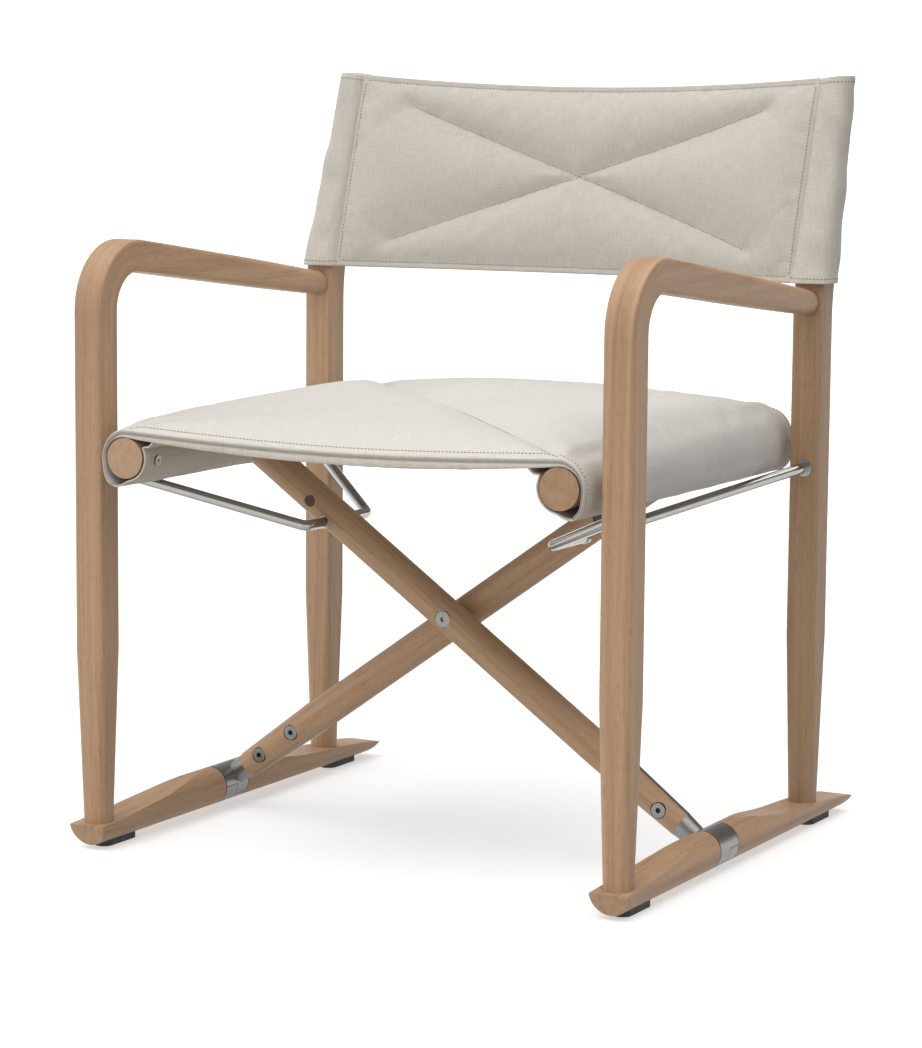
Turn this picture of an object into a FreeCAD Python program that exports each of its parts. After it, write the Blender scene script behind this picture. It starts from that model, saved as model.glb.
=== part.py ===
import FreeCAD, Part
import math
import os

# Folding director chair: two side frames, two crossed legs, a slung seat and a slung back.
# Millimetres, +Z up, the sitter faces -Y. The origin is on the floor, under the middle of the
# chair's overall width and depth. Lengths along Y are first measured from the plane half way
# between the front and rear legs, and every shape moves by LEG_PLANE_Y when it is saved.

V = FreeCAD.Vector

# Overall stance
LEG_X = 308.0            # side frame plane, from the middle of the chair
LEG_Y = 238.0            # front and rear leg axes, either side of the leg plane
RUNNER_FRONT_Y = -262.0
RUNNER_REAR_Y = 340.0
RAIL_FRONT_Y = -268.5
RAIL_REAR_Y = 262.0
LEG_PLANE_Y = -(RAIL_FRONT_Y + RUNNER_REAR_Y) / 2

# Runner
RUNNER_R = 21.0
PAD_LIFT = 4.5
RUNNER_Z = PAD_LIFT + RUNNER_R
GROOVE_R = 16.0
PAD_FRONT_Y = (-238.0, -176.0)
PAD_REAR_Y = (240.0, 302.0)
PAD_WIDTH = 20.0
PAD_TOP_Z = 7.2

# Side frame members
POST_SQUARE = 34.0
POST_FOOT_D = 30.0
POST_EDGE_R = 3.5
SQUARE_FROM_Z = 215.0
ARM_TOP_Z = 648.0
ARM_BEND_R = 57.0
ARM_FALL = 7.0           # degrees the armrest drops towards the back
ARM_REAR_W = 26.0
ARM_REAR_H = 27.0
LEAN = 16.7              # degrees the rear post leans back above the arms
LEAN_Z = 594.0
POST_TOP_LENGTH = 196.0
POST_TOP_W = 22.0
POST_TOP_D = 25.0
POST_TOP_INSET = 4.0     # the top of the post stands this much nearer the middle

# Crossed legs
PIVOT_Z = 244.0
BAR_Y = 19.0             # axis of the front bar in front of the leg plane, rear bar behind it
BAR_R = 18.0
BAR_END_R = 14.0
BAR_END = 340.0          # along the bar from the centre pivot
BAR_TAPER_FROM = 225.0
TONGUE_FROM = 226.0
TONGUE_T = 6.0
TONGUE_PROUD = 0.5
TONGUE_SCREWS = (262.0, 314.0)
SCREW_HEAD_R = 8.5
RAIL_PLUG_AT = -203.0
RAIL_X = 252.3
RAIL_Z = 425.2
RAIL_R = 21.5
REACH = math.hypot(LEG_X, PIVOT_Z - RUNNER_Z)
ANGLE = math.degrees(math.atan2(PIVOT_Z - RUNNER_Z, LEG_X))

# Collars round the runners
COLLAR_W = 47.0
COLLAR_Y = 10.0          # middle of the collar: its yoke's neck stands on the outer half
COLLAR_GAP = 0.5
RUN_FIT = 0.05           # radial clearance of every turning fit

# Stay rods
STAY_R = 5.8
BUSH_R = 7.0
STAY_POST_Z = 401.5
STAY_ALONG = 176.0       # pivot in the crossed leg, along the bar from the centre pivot
STAY_BELOW = 8.5         # and below the bar's axis
STAY_FLAT_Y = (-73.0, 61.0)
STAY_STUB = 17.0
STAY_BEND_R = 15.0
SOCKET_GAP = 0.3         # between the rod's end and the eyelet's rim
EYELET_RIM = 1.2
EYELET_RIM_R = 9.4
EYELET_BARREL_R = 7.4
EYELET_DEPTH = 18.0

# Canvas
SEAT_CLEAR = 0.6         # between the rails and the underside of the seat
SEAT_FRONT_Y = -262.0
SEAT_REAR_Y = 256.0
SEAT_STATIONS = (        # y, thickness over the rails, sag of the underside, rise of the top
    (SEAT_FRONT_Y, 8.0, 15.0, -6.0),
    (-150.0, 9.0, 15.0, 5.0),
    (0.0, 10.0, 12.0, 9.0),
    (150.0, 13.0, 10.0, 10.0),
    (SEAT_REAR_Y, 11.0, 10.0, 2.0),
)
WRAP_T = 4.5
WRAP_OPEN = 48.0         # degrees above level where the hem ends, on the rail's inner side
HEM_SCREW_DROP = 6.0     # degrees below level at which the hem's screws point inward
BACK_BOTTOM_Z = 600.0
BACK_TOP_Z = 824.0
SLEEVE_ENDS = (          # height, half width, distance of the post from the chair's middle
    (BACK_BOTTOM_Z, 22.5, LEG_X),
    (BACK_TOP_Z, 15.0, LEG_X - POST_TOP_INSET),
)
BACK_T = 16.0
BACK_SAG = 14.0


def cylinder(radius, start, end):
    axis = end - start
    return Part.makeCylinder(radius, axis.Length, start, axis)


def cone(radius_1, radius_2, start, end):
    axis = end - start
    return Part.makeCone(radius_1, radius_2, axis.Length, start, axis)


def box(low, high):
    size = high - low
    return Part.makeBox(size.x, size.y, size.z, low)


def fuse(shapes):
    result = shapes[0]
    for shape in shapes[1:]:
        result = result.fuse(shape)
    return result.removeSplitter()


def cut(shape, tools):
    for tool in tools:
        shape = shape.cut(tool)
    return shape


def mirrored(shape):
    return shape.mirror(V(0, 0, 0), V(1, 0, 0))


def save(name, shape):
    placed = shape.translated(V(0, LEG_PLANE_Y, 0))
    placed.exportStep(os.path.join("parts", name + ".step"))


def save_sides(name, shape):
    save(name + "_right", shape)
    save(name + "_left", mirrored(shape))


def section(y, z, heading, width, depth, corner, x=LEG_X):
    """Rounded rectangle across a path in the Y-Z plane; heading is degrees above +Y."""
    angle = math.radians(heading)
    across = V(1, 0, 0)
    up = V(0, -math.sin(angle), math.cos(angle))
    centre = V(x, y, z)
    w = width / 2
    d = depth / 2
    k = corner * (1 - math.sqrt(0.5))

    def at(u, v):
        return centre + across * u + up * v

    edges = []
    for sign_u, sign_v in ((1, 1), (-1, 1), (-1, -1), (1, -1)):
        first = at(sign_u * w, sign_v * (d - corner))
        middle = at(sign_u * (w - k), sign_v * (d - k))
        last = at(sign_u * (w - corner), sign_v * d)
        if sign_u * sign_v < 0:
            first, last = last, first
        if edges:
            edges.append(Part.makeLine(edges[-1].lastVertex().Point, first))
        edges.append(Part.Arc(first, middle, last).toShape())
    edges.append(Part.makeLine(edges[-1].lastVertex().Point, edges[0].firstVertex().Point))
    return Part.Wire(edges)


def foot_section(y, z):
    return section(y, z, 90, POST_FOOT_D, POST_FOOT_D, POST_FOOT_D * 0.495)


def square_section(y, z, heading):
    return section(y, z, heading, POST_SQUARE, POST_SQUARE, POST_EDGE_R)


# ---------------------------------------------------------------- side frames

def runner_profile():
    """Side outline of the runner: scooped from full round down to a flat under each leg."""
    front = [(-40, 46.6), (-77, 43.5), (-117, 38.5), (-160, 34.5), (-200, 31), (RUNNER_FRONT_Y, 27)]
    rear = [(40, 46.6), (85, 41.5), (135, 34.5), (210, 29), (RUNNER_REAR_Y, 17.5)]
    front_curve = Part.BSplineCurve()
    front_curve.interpolate([V(0, y, z) for y, z in reversed(front)])
    rear_curve = Part.BSplineCurve()
    rear_curve.interpolate([V(0, y, z) for y, z in rear])
    front_toe = V(0, RUNNER_FRONT_Y + 8, PAD_LIFT - 1)
    rear_heel = V(0, RUNNER_REAR_Y - 34, PAD_LIFT - 1)
    tail = V(0, RUNNER_REAR_Y - 8, PAD_LIFT + 4.5)
    ridge_front = V(0, -40, 46.6)
    ridge_rear = V(0, 40, 46.6)
    edges = [
        Part.makeLine(front_toe, V(0, RUNNER_FRONT_Y, 27)),
        front_curve.toShape(),
        Part.makeLine(ridge_front, ridge_rear),
        rear_curve.toShape(),
        Part.Arc(V(0, RUNNER_REAR_Y, 17.5), tail, rear_heel).toShape(),
        Part.makeLine(rear_heel, front_toe),
    ]
    return Part.Face(Part.Wire(edges))


def collar_groove():
    inner = V(LEG_X, -COLLAR_Y - COLLAR_W / 2 - COLLAR_GAP, RUNNER_Z)
    outer = V(LEG_X, -COLLAR_Y + COLLAR_W / 2 + COLLAR_GAP, RUNNER_Z)
    return cylinder(RUNNER_R + 3, inner, outer).cut(cylinder(GROOVE_R, inner, outer))


def runner(groove_shift, legs, screws):
    bar = cylinder(RUNNER_R, V(LEG_X, RUNNER_FRONT_Y, RUNNER_Z), V(LEG_X, RUNNER_REAR_Y, RUNNER_Z))
    slab = runner_profile().extrude(V(2 * RUNNER_R + 4, 0, 0))
    slab.translate(V(LEG_X - RUNNER_R - 2, 0, 0))
    groove = collar_groove()
    groove.translate(V(0, groove_shift, 0))
    return cut(bar.common(slab), [groove] + legs + screws)


def foot_pads():
    pads = []
    bar = cylinder(RUNNER_R, V(LEG_X, RUNNER_FRONT_Y, RUNNER_Z), V(LEG_X, RUNNER_REAR_Y, RUNNER_Z))
    for front, rear in (PAD_FRONT_Y, PAD_REAR_Y):
        r = PAD_WIDTH / 2
        ends = [cylinder(r, V(LEG_X, y, 0), V(LEG_X, y, PAD_TOP_Z)) for y in (front + r, rear - r)]
        middle = box(V(LEG_X - r, front + r, 0), V(LEG_X + r, rear - r, PAD_TOP_Z))
        pads.append(fuse([middle] + ends).cut(bar))
    return pads


def pad_screws():
    """Two countersunk screws through each pad, up into the runner."""
    screws = []
    for front, rear in (PAD_FRONT_Y, PAD_REAR_Y):
        for y in (front + 14, rear - 14):
            head = cone(3.6, 1.6, V(LEG_X, y, 1.2), V(LEG_X, y, 3.2))
            shank = cylinder(1.6, V(LEG_X, y, 3.2), V(LEG_X, y, 13))
            screws.append(head.fuse(shank))
    return screws


def pad_screw_wells():
    wells = []
    for front, rear in (PAD_FRONT_Y, PAD_REAR_Y):
        for y in (front + 14, rear - 14):
            wells.append(cylinder(3.6, V(LEG_X, y, -1), V(LEG_X, y, 1.2)))
    return wells


def front_leg_armrest():
    """One bent piece: round foot, square leg, bend, armrest thinning to an oval at the back."""
    y0 = -LEG_Y
    bend_z = ARM_TOP_Z - POST_SQUARE / 2 - ARM_BEND_R
    foot = V(LEG_X, y0, RUNNER_Z - 8)
    taper = Part.makeLoft([foot_section(y0, foot.z), square_section(y0, SQUARE_FROM_Z, 90)], True, False)
    straight = Part.makeLoft(
        [square_section(y0, SQUARE_FROM_Z, 90), square_section(y0, bend_z, 90)], True, True
    )
    centre = V(LEG_X, y0 + ARM_BEND_R, bend_z)
    bend = Part.Face(square_section(y0, bend_z, 90)).revolve(centre, V(-1, 0, 0), 90 + ARM_FALL)
    turned = math.radians(90 + ARM_FALL)
    start_y = centre.y - ARM_BEND_R * math.cos(turned)
    start_z = centre.z + ARM_BEND_R * math.sin(turned)
    end_y = LEG_Y - POST_SQUARE / 2
    fall = math.tan(math.radians(ARM_FALL))
    stations = [
        (0.0, POST_SQUARE, POST_SQUARE, POST_EDGE_R),
        (0.35, POST_SQUARE - 1, POST_SQUARE - 1, 7.0),
        (0.75, POST_SQUARE - 4, POST_SQUARE - 3.5, 11.0),
        (1.0, ARM_REAR_W, ARM_REAR_H, ARM_REAR_W * 0.49),
    ]
    wires = []
    for share, width, height, corner in stations:
        y = start_y + (end_y - start_y) * share
        z = start_z - (y - start_y) * fall
        wires.append(section(y, z, -ARM_FALL, width, height, corner))
    arm = Part.makeLoft(wires, True, False)
    behind = box(V(LEG_X - 40, end_y, 500), V(LEG_X + 40, end_y + 40, 700))
    return fuse([taper, straight, bend, arm]).cut(behind)


def rear_post():
    """Round foot, square post, then a thinner top leaning back to carry the back canvas."""
    y0 = LEG_Y
    foot_z = RUNNER_Z - 10
    taper = Part.makeLoft([foot_section(y0, foot_z), square_section(y0, SQUARE_FROM_Z, 90)], True, False)
    knee_z = LEAN_Z - 34
    straight = Part.makeLoft(
        [square_section(y0, SQUARE_FROM_Z, 90), square_section(y0, knee_z, 90)], True, True
    )
    lean = math.radians(LEAN)
    knee_r = 34 / math.tan(lean / 2)
    centre = V(LEG_X, y0 + knee_r, knee_z)
    knee = Part.Face(square_section(y0, knee_z, 90)).revolve(centre, V(-1, 0, 0), LEAN)
    y1 = centre.y - knee_r * math.cos(lean)
    z1 = knee_z + knee_r * math.sin(lean)
    y2 = y1 + POST_TOP_LENGTH * math.sin(lean)
    z2 = z1 + POST_TOP_LENGTH * math.cos(lean)
    top_wires = [
        square_section(y1, z1, 90 - LEAN),
        section(y2, z2, 90 - LEAN, POST_TOP_W, POST_TOP_D, POST_EDGE_R, LEG_X - POST_TOP_INSET),
    ]
    return fuse([taper, straight, knee, Part.makeLoft(top_wires, True, True)])


def armrest_dowel():
    """Hidden dowel between the back of the armrest and the rear post."""
    y = LEG_Y - POST_SQUARE / 2
    z = arm_rear_z()
    return cylinder(6, V(LEG_X, y - 22, z), V(LEG_X, y + 22, z))


def arm_rear_z():
    turned = math.radians(90 + ARM_FALL)
    start_y = -LEG_Y + ARM_BEND_R - ARM_BEND_R * math.cos(turned)
    start_z = ARM_TOP_Z - POST_SQUARE / 2 - ARM_BEND_R + ARM_BEND_R * math.sin(turned)
    end_y = LEG_Y - POST_SQUARE / 2
    return start_z - (end_y - start_y) * math.tan(math.radians(ARM_FALL))


def stay_sockets():
    """Flanged eyelet in the inner face of each post."""
    face = LEG_Y - POST_SQUARE / 2
    sockets = []
    for side in (-1, 1):
        mouth = V(LEG_X, side * face, STAY_POST_Z)
        front = V(LEG_X, side * (face - EYELET_RIM), STAY_POST_Z)
        bottom = V(LEG_X, side * (face + EYELET_DEPTH), STAY_POST_Z)
        barrel = cylinder(EYELET_BARREL_R, mouth, bottom)
        rim = cylinder(EYELET_RIM_R, mouth, front)
        bore = cylinder(STAY_R, front, bottom)
        sockets.append(barrel.fuse(rim).cut(bore))
    return sockets


def stay_end_pins():
    """The rod's last stretch, seated in the eyelet: the stay parts from it at the eyelet's face."""
    face = LEG_Y - POST_SQUARE / 2
    pins = []
    for side in (-1, 1):
        start = V(LEG_X, side * (face - EYELET_RIM), STAY_POST_Z)
        pins.append(cylinder(STAY_R, start, V(LEG_X, side * (face + EYELET_DEPTH), STAY_POST_Z)))
    return pins


def make_side_frames():
    arm = front_leg_armrest()
    post = rear_post()
    pads = foot_pads()
    screws = pad_screws()
    dowel = armrest_dowel()
    sockets = stay_sockets()
    pins = stay_end_pins()
    save_sides("stay_end_pins", Part.makeCompound(pins))
    save_sides("stay_sockets", Part.makeCompound(sockets))
    save_sides("armrest_dowel", dowel)
    save_sides("foot_pad_screws", Part.makeCompound(screws))
    save_sides("foot_pads", Part.makeCompound([cut(pad, screws + pad_screw_wells()) for pad in pads]))
    save("runner_right", runner(0, [arm, post], screws))
    save("runner_left", mirrored(runner(2 * COLLAR_Y, [arm, post], screws)))
    save_sides("front_leg_armrest", cut(arm, [dowel] + sockets + pins))
    save_sides("rear_post", cut(post, [dowel] + sockets + pins))
    return post


# ---------------------------------------------------------------- crossed legs

def bar_to_chair(shape, bar_y):
    """Local x runs along the bar from the centre pivot to the collar, local z points up."""
    turned = shape.copy()
    turned.rotate(V(0, 0, 0), V(0, 1, 0), ANGLE)
    turned.translate(V(0, bar_y, PIVOT_Z))
    return turned


def bar_envelope(extra=0.0):
    rail_end = -math.hypot(RAIL_X, RAIL_Z - PIVOT_Z)
    upper = cylinder(BAR_R + extra, V(rail_end, 0, 0), V(BAR_TAPER_FROM, 0, 0))
    lower = cone(BAR_R + extra, BAR_END_R + extra, V(BAR_TAPER_FROM, 0, 0), V(BAR_END, 0, 0))
    return fuse([upper, lower])


def tongue_slab(extra=0.0):
    half = TONGUE_T / 2 + extra
    return box(V(TONGUE_FROM - extra, -half, -40), V(BAR_END + 20, half, 40))


def tongue_bolts():
    """Wide flush heads at the front, shanks through bar and tongue, round nuts at the back."""
    bolts = []
    for x in TONGUE_SCREWS:
        surface = BAR_R + (BAR_END_R - BAR_R) * (x - BAR_TAPER_FROM) / (BAR_END - BAR_TAPER_FROM)
        head_y = -surface + 1.0
        head = cylinder(SCREW_HEAD_R, V(x, head_y, 0), V(x, head_y + 3.4, 0))
        socket = hexagon_socket(V(x, head_y, 0), 2.6, 2.4)
        shank = cylinder(3, V(x, head_y + 3.4, 0), V(x, surface - 2.0, 0))
        nut = cylinder(6, V(x, surface - 6.5, 0), V(x, surface - 1.0, 0))
        bolts.append(fuse([head, shank, nut]).cut(socket))
    return bolts


def tongue_bolt_wells():
    wells = []
    for x in TONGUE_SCREWS:
        surface = BAR_R + (BAR_END_R - BAR_R) * (x - BAR_TAPER_FROM) / (BAR_END - BAR_TAPER_FROM)
        wells.append(cylinder(SCREW_HEAD_R + 0.4, V(x, -30, 0), V(x, -surface + 4.4, 0)))
        wells.append(cylinder(6.2, V(x, surface - 6.5, 0), V(x, 30, 0)))
        wells.append(cylinder(3, V(x, -20, 0), V(x, 20, 0)))
    return wells


def hexagon_socket(face, radius, depth):
    corners = []
    for i in range(7):
        angle = math.radians(60 * i)
        corners.append(V(face.x + radius * math.cos(angle), face.y, face.z + radius * math.sin(angle)))
    hexagon = Part.Face(Part.makePolygon(corners))
    return hexagon.extrude(V(0, depth, 0))


def stay_pivot_local():
    return V(-STAY_ALONG, 0, -STAY_BELOW)


def stay_bushes():
    """Plain bush at each side of the bar, a little proud of the wood."""
    at = stay_pivot_local()
    surface = math.sqrt(BAR_R ** 2 - STAY_BELOW ** 2)
    bushes = []
    for side in (-1, 1):
        outer = V(at.x, side * (surface + 1.0), at.z)
        inner = V(at.x, side * (surface - 9.0), at.z)
        bushes.append(cylinder(BUSH_R, inner, outer).cut(cylinder(STAY_R + RUN_FIT, inner, outer)))
    return bushes


def stay_hole_cutters():
    at = stay_pivot_local()
    surface = math.sqrt(BAR_R ** 2 - STAY_BELOW ** 2)
    cutters = [cylinder(STAY_R + 0.4, V(at.x, -30, at.z), V(at.x, 30, at.z))]
    for side in (-1, 1):
        cutters.append(cylinder(BUSH_R, V(at.x, side * (surface - 9.0), at.z), V(at.x, side * 30, at.z)))
    return cutters


def rail_plug():
    """Round cross dowel nut in the bar, which the rail's bolt screws into."""
    return cylinder(6.5, V(RAIL_PLUG_AT, -BAR_R + 1.2, 0), V(RAIL_PLUG_AT, BAR_R - 4, 0))


def rail_plug_mouth():
    """Opens the bar's front face down to the plug."""
    return cylinder(6.5, V(RAIL_PLUG_AT, -BAR_R - 1, 0), V(RAIL_PLUG_AT, -BAR_R + 1.2, 0))


def rail_bolt():
    rail_centre = -math.hypot(RAIL_X, RAIL_Z - PIVOT_Z)
    head_x = rail_centre - RAIL_R + 5
    head = cylinder(6.5, V(head_x - 3.5, 0, 0), V(head_x, 0, 0))
    shank = cylinder(3, V(head_x, 0, 0), V(RAIL_PLUG_AT + 4, 0, 0))
    return head.fuse(shank)


def rail_bolt_well():
    rail_centre = -math.hypot(RAIL_X, RAIL_Z - PIVOT_Z)
    head_x = rail_centre - RAIL_R + 5
    return cylinder(6.9, V(head_x - 30, 0, 0), V(head_x, 0, 0))


def collar_ring(collar_y):
    start = V(LEG_X, collar_y - COLLAR_W / 2, RUNNER_Z)
    end = V(LEG_X, collar_y + COLLAR_W / 2, RUNNER_Z)
    return cylinder(RUNNER_R, start, end), cylinder(GROOVE_R + RUN_FIT, start, end)


def cap_region(collar_y, gap=0.0):
    """Lower part of the collar: split at mid height on the inner half, lower below the neck."""
    far = RUNNER_R + 8
    floor = RUNNER_Z - far
    split = RUNNER_Z - gap
    low = box(V(LEG_X - far, collar_y - far, floor), V(LEG_X + far, collar_y + far, split - 13))
    if collar_y < 0:
        inner = box(V(LEG_X - far, collar_y + gap, floor), V(LEG_X + far, collar_y + far, split))
    else:
        inner = box(V(LEG_X - far, collar_y - far, floor), V(LEG_X + far, collar_y - gap, split))
    return inner.fuse(low)


def collar_screws(collar_y):
    """Small set screws that hold cap and yoke together, inside the collar's wall."""
    toward_middle = -math.copysign(COLLAR_W / 4, collar_y)
    screws = []
    for side in (-1, 1):
        x = LEG_X + side * 18.6
        y = collar_y + toward_middle
        screws.append(cylinder(1.5, V(x, y, RUNNER_Z - 7), V(x, y, RUNNER_Z + 6)))
    return screws


def make_cross_leg(bar_y, position, collar_side, rail_side, flip):
    """One crossed leg with its collar and stay bushes; flip mirrors it for the rear leg."""
    bolts = tongue_bolts()
    bushes = stay_bushes()
    bolt = rail_bolt()
    plug = rail_plug().cut(bolt)
    rail_bar = cylinder(RAIL_R, V(-RAIL_X, RAIL_FRONT_Y, RAIL_Z), V(-RAIL_X, RAIL_REAR_Y, RAIL_Z))

    fittings = tongue_bolt_wells() + stay_hole_cutters() + [plug, rail_plug_mouth(), bolt]
    wood = cut(bar_envelope(), [tongue_slab()] + fittings)
    wood = bar_to_chair(wood, bar_y).cut(rail_bar)
    wood = cut(wood, centre_cutters(bar_y))

    collar_y = math.copysign(COLLAR_Y, bar_y)
    ring, bore = collar_ring(collar_y)
    tongue_local = bar_envelope(TONGUE_PROUD).common(tongue_slab())
    tongue = bar_to_chair(cut(tongue_local, tongue_bolt_wells()), bar_y)
    neck_local = cone(BAR_END_R, 11.5, V(BAR_END, 0, 0), V(REACH - 12, 0, 0))
    neck = bar_to_chair(neck_local, bar_y)
    body = cut(fuse([ring, neck, tongue]), [bore])
    screws = collar_screws(collar_y)
    yoke = cut(body, [cap_region(collar_y)] + screws)
    cap = cut(ring.common(cap_region(collar_y, 0.25)), [bore] + screws)

    rail = cut(rail_bar, [bar_to_chair(bolt, bar_y), bar_to_chair(rail_bolt_well(), bar_y)])

    def put(name, shape):
        save(name, mirrored(shape) if flip else shape)

    put("cross_leg_" + position, wood)
    put("collar_yoke_" + collar_side, yoke)
    put("collar_cap_" + collar_side, cap)
    put("collar_screws_" + collar_side, Part.makeCompound(screws))
    put("tongue_bolts_" + collar_side, bar_to_chair(Part.makeCompound(bolts), bar_y))
    put("stay_bushes_" + rail_side, bar_to_chair(Part.makeCompound(bushes), bar_y))
    put("rail_plug_" + rail_side, bar_to_chair(plug, bar_y))
    put("rail_bolt_" + rail_side, bar_to_chair(bolt, bar_y))
    seat = make_seat_end(bar_y, rail_bar)
    put("seat_screws_" + rail_side, Part.makeCompound(seat["screws"]))
    put("seat_rail_" + rail_side, cut(rail, seat["screws"]))
    put("seat_wrap_" + rail_side, seat["wrap"])


def centre_parts():
    """Pivot bolt, its sleeve nut and the washer between the legs."""
    front = -BAR_Y - BAR_R
    rear = BAR_Y + BAR_R
    at = PIVOT_Z
    head = cylinder(8.75, V(0, front + 1.0, at), V(0, front + 5.0, at))
    shank = cylinder(3, V(0, front + 5.0, at), V(0, rear - 6.0, at))
    bolt = head.fuse(shank).cut(hexagon_socket(V(0, front + 1.0, at), 3.0, 2.4))
    barrel = cylinder(5.5, V(0, 2.5, at), V(0, rear - 5.0, at))
    nut_head = cylinder(8.75, V(0, rear - 5.0, at), V(0, rear - 1.0, at))
    nut = barrel.fuse(nut_head).cut(shank)
    nut = nut.cut(hexagon_socket(V(0, rear - 3.4, at), 3.0, 4))
    washer = cylinder(9.6, V(0, -2.0, at), V(0, 1.7, at)).cut(cylinder(3, V(0, -3, at), V(0, 3, at)))
    return bolt, nut, washer


def centre_cutters(bar_y):
    front = -BAR_Y - BAR_R
    rear = BAR_Y + BAR_R
    at = PIVOT_Z
    if bar_y < 0:
        return [
            cylinder(9.1, V(0, front - 5, at), V(0, front + 5.0, at)),
            cylinder(3, V(0, front, at), V(0, 0, at)),
            cylinder(10, V(0, -2.0, at), V(0, 2, at)),
        ]
    return [
        cylinder(5.5 + RUN_FIT, V(0, 0, at), V(0, rear, at)),
        cylinder(9.1, V(0, rear - 5.3, at), V(0, rear + 5, at)),
        cylinder(10, V(0, -2, at), V(0, 2.0, at)),
    ]


def make_centre_pivot():
    bolt, nut, washer = centre_parts()
    save("pivot_bolt", bolt)
    save("pivot_sleeve_nut", nut)
    save("pivot_washer", washer.cut(cylinder(5.5, V(0, 2.5, PIVOT_Z), V(0, 9, PIVOT_Z))))


# ---------------------------------------------------------------- stay rods

def stay_path():
    """Corners of the right-hand rod, from the front post round to the rear post."""
    angle = math.radians(ANGLE)
    x = STAY_ALONG * math.cos(angle) + STAY_BELOW * math.sin(angle)
    z = PIVOT_Z + STAY_ALONG * math.sin(angle) - STAY_BELOW * math.cos(angle)
    end = LEG_Y - POST_SQUARE / 2 - EYELET_RIM - SOCKET_GAP
    return [
        V(LEG_X, -end, STAY_POST_Z),
        V(LEG_X, -end + STAY_STUB, STAY_POST_Z),
        V(x, STAY_FLAT_Y[0], z),
        V(x, STAY_FLAT_Y[1], z),
        V(LEG_X, end - STAY_STUB, STAY_POST_Z),
        V(LEG_X, end, STAY_POST_Z),
    ]


def bent_rod(points, bend, radius):
    """Straight runs joined by tangent arcs, swept with a circle."""
    edges = []
    at = points[0]
    for before, corner, after in zip(points, points[1:], points[2:]):
        into = (before - corner).normalize()
        out = (after - corner).normalize()
        half = into.getAngle(out) / 2
        set_back = bend / math.tan(half)
        start = corner + into * set_back
        end = corner + out * set_back
        middle_dir = (into + out).normalize()
        middle = corner + middle_dir * (bend / math.sin(half) - bend)
        edges.append(Part.makeLine(at, start))
        edges.append(Part.Arc(start, middle, end).toShape())
        at = end
    edges.append(Part.makeLine(at, points[-1]))
    path = Part.Wire(edges)
    profile = Part.Wire(Part.makeCircle(radius, points[0], points[1] - points[0]))
    return path.makePipeShell([profile], True, True)


def make_stays():
    rod = bent_rod(stay_path(), STAY_BEND_R, STAY_R)
    save("stay_rod_right", rod)
    save("stay_rod_left", mirrored(rod))


# ---------------------------------------------------------------- canvas

def make_seat_end(bar_y, rail_bar):
    """Canvas wrapped round the left rail, and the screws that hold its hem, for one cross leg."""
    start = V(-RAIL_X, SEAT_FRONT_Y, RAIL_Z)
    end = V(-RAIL_X, SEAT_REAR_Y, RAIL_Z)
    shell = cylinder(RAIL_R + WRAP_T, start, end).cut(cylinder(RAIL_R, start, end))
    far = RAIL_R + WRAP_T + 2
    rise = math.radians(WRAP_OPEN)
    wedge = Part.makePolygon([
        V(-RAIL_X, SEAT_FRONT_Y - 1, RAIL_Z),
        V(-RAIL_X + far * math.cos(rise), SEAT_FRONT_Y - 1, RAIL_Z + far * math.sin(rise)),
        V(-RAIL_X + far, SEAT_FRONT_Y - 1, RAIL_Z + far * 1.5),
        V(-RAIL_X, SEAT_FRONT_Y - 1, RAIL_Z + far * 1.5),
        V(-RAIL_X, SEAT_FRONT_Y - 1, RAIL_Z),
    ])
    open_top = Part.Face(wedge).extrude(V(0, SEAT_REAR_Y - SEAT_FRONT_Y + 2, 0))
    leg_gap = bar_to_chair(cylinder(BAR_R + 1.5, V(-300, 0, 0), V(0, 0, 0)), bar_y)
    drop = math.radians(HEM_SCREW_DROP)
    aim = V(math.cos(drop), 0, -math.sin(drop))
    screws = []
    for y in (SEAT_FRONT_Y + 16, -110, 110, SEAT_REAR_Y - 16):
        seat = V(-RAIL_X, y, RAIL_Z) + aim * (RAIL_R + WRAP_T)
        head = cylinder(5.5, seat - aim * 0.6, seat + aim * 1.6)
        shank = cylinder(2, seat - aim * 20, seat)
        socket = cylinder(1.6, seat + aim * 0.4, seat + aim * 3)
        screws.append(head.fuse(shank).cut(socket))
    wrap = cut(shell, [open_top, leg_gap] + screws)
    return {"wrap": wrap, "screws": screws}


def seat_slice(y, thickness, under_sag, top_rise):
    """Cross-section of the seat: its underside sags, its padded top rises by top_rise."""
    half = RAIL_X - 0.3
    under = RAIL_Z + RAIL_R + SEAT_CLEAR
    top = under + thickness
    low = Part.Arc(V(half, y, under), V(0, y, under - under_sag), V(-half, y, under)).toShape()
    high = Part.Arc(V(-half, y, top), V(0, y, top + top_rise), V(half, y, top)).toShape()
    left = Part.makeLine(V(-half, y, under), V(-half, y, top))
    right = Part.makeLine(V(half, y, top), V(half, y, under))
    return Part.Wire([low, left, high, right])


def seat_panel():
    """Padded sling between the rails: thin at the front edge, full towards the back."""
    slices = [seat_slice(*station) for station in SEAT_STATIONS]
    return Part.makeLoft(slices, True, True)


def lean_y(z):
    """Middle of the leaning post at a height above the knee."""
    return LEG_Y + (z - LEAN_Z) * math.tan(math.radians(LEAN))


def back_sleeve(post):
    """Canvas sleeve over the top of the rear post, closed at the top."""
    wires = []
    for z, half, x in SLEEVE_ENDS:
        y = lean_y(z)
        wires.append(section(y, z, 90, 2 * half, 2 * half + 1, half * 0.6, x))
    return Part.makeLoft(wires, True, True).cut(post)


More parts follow.
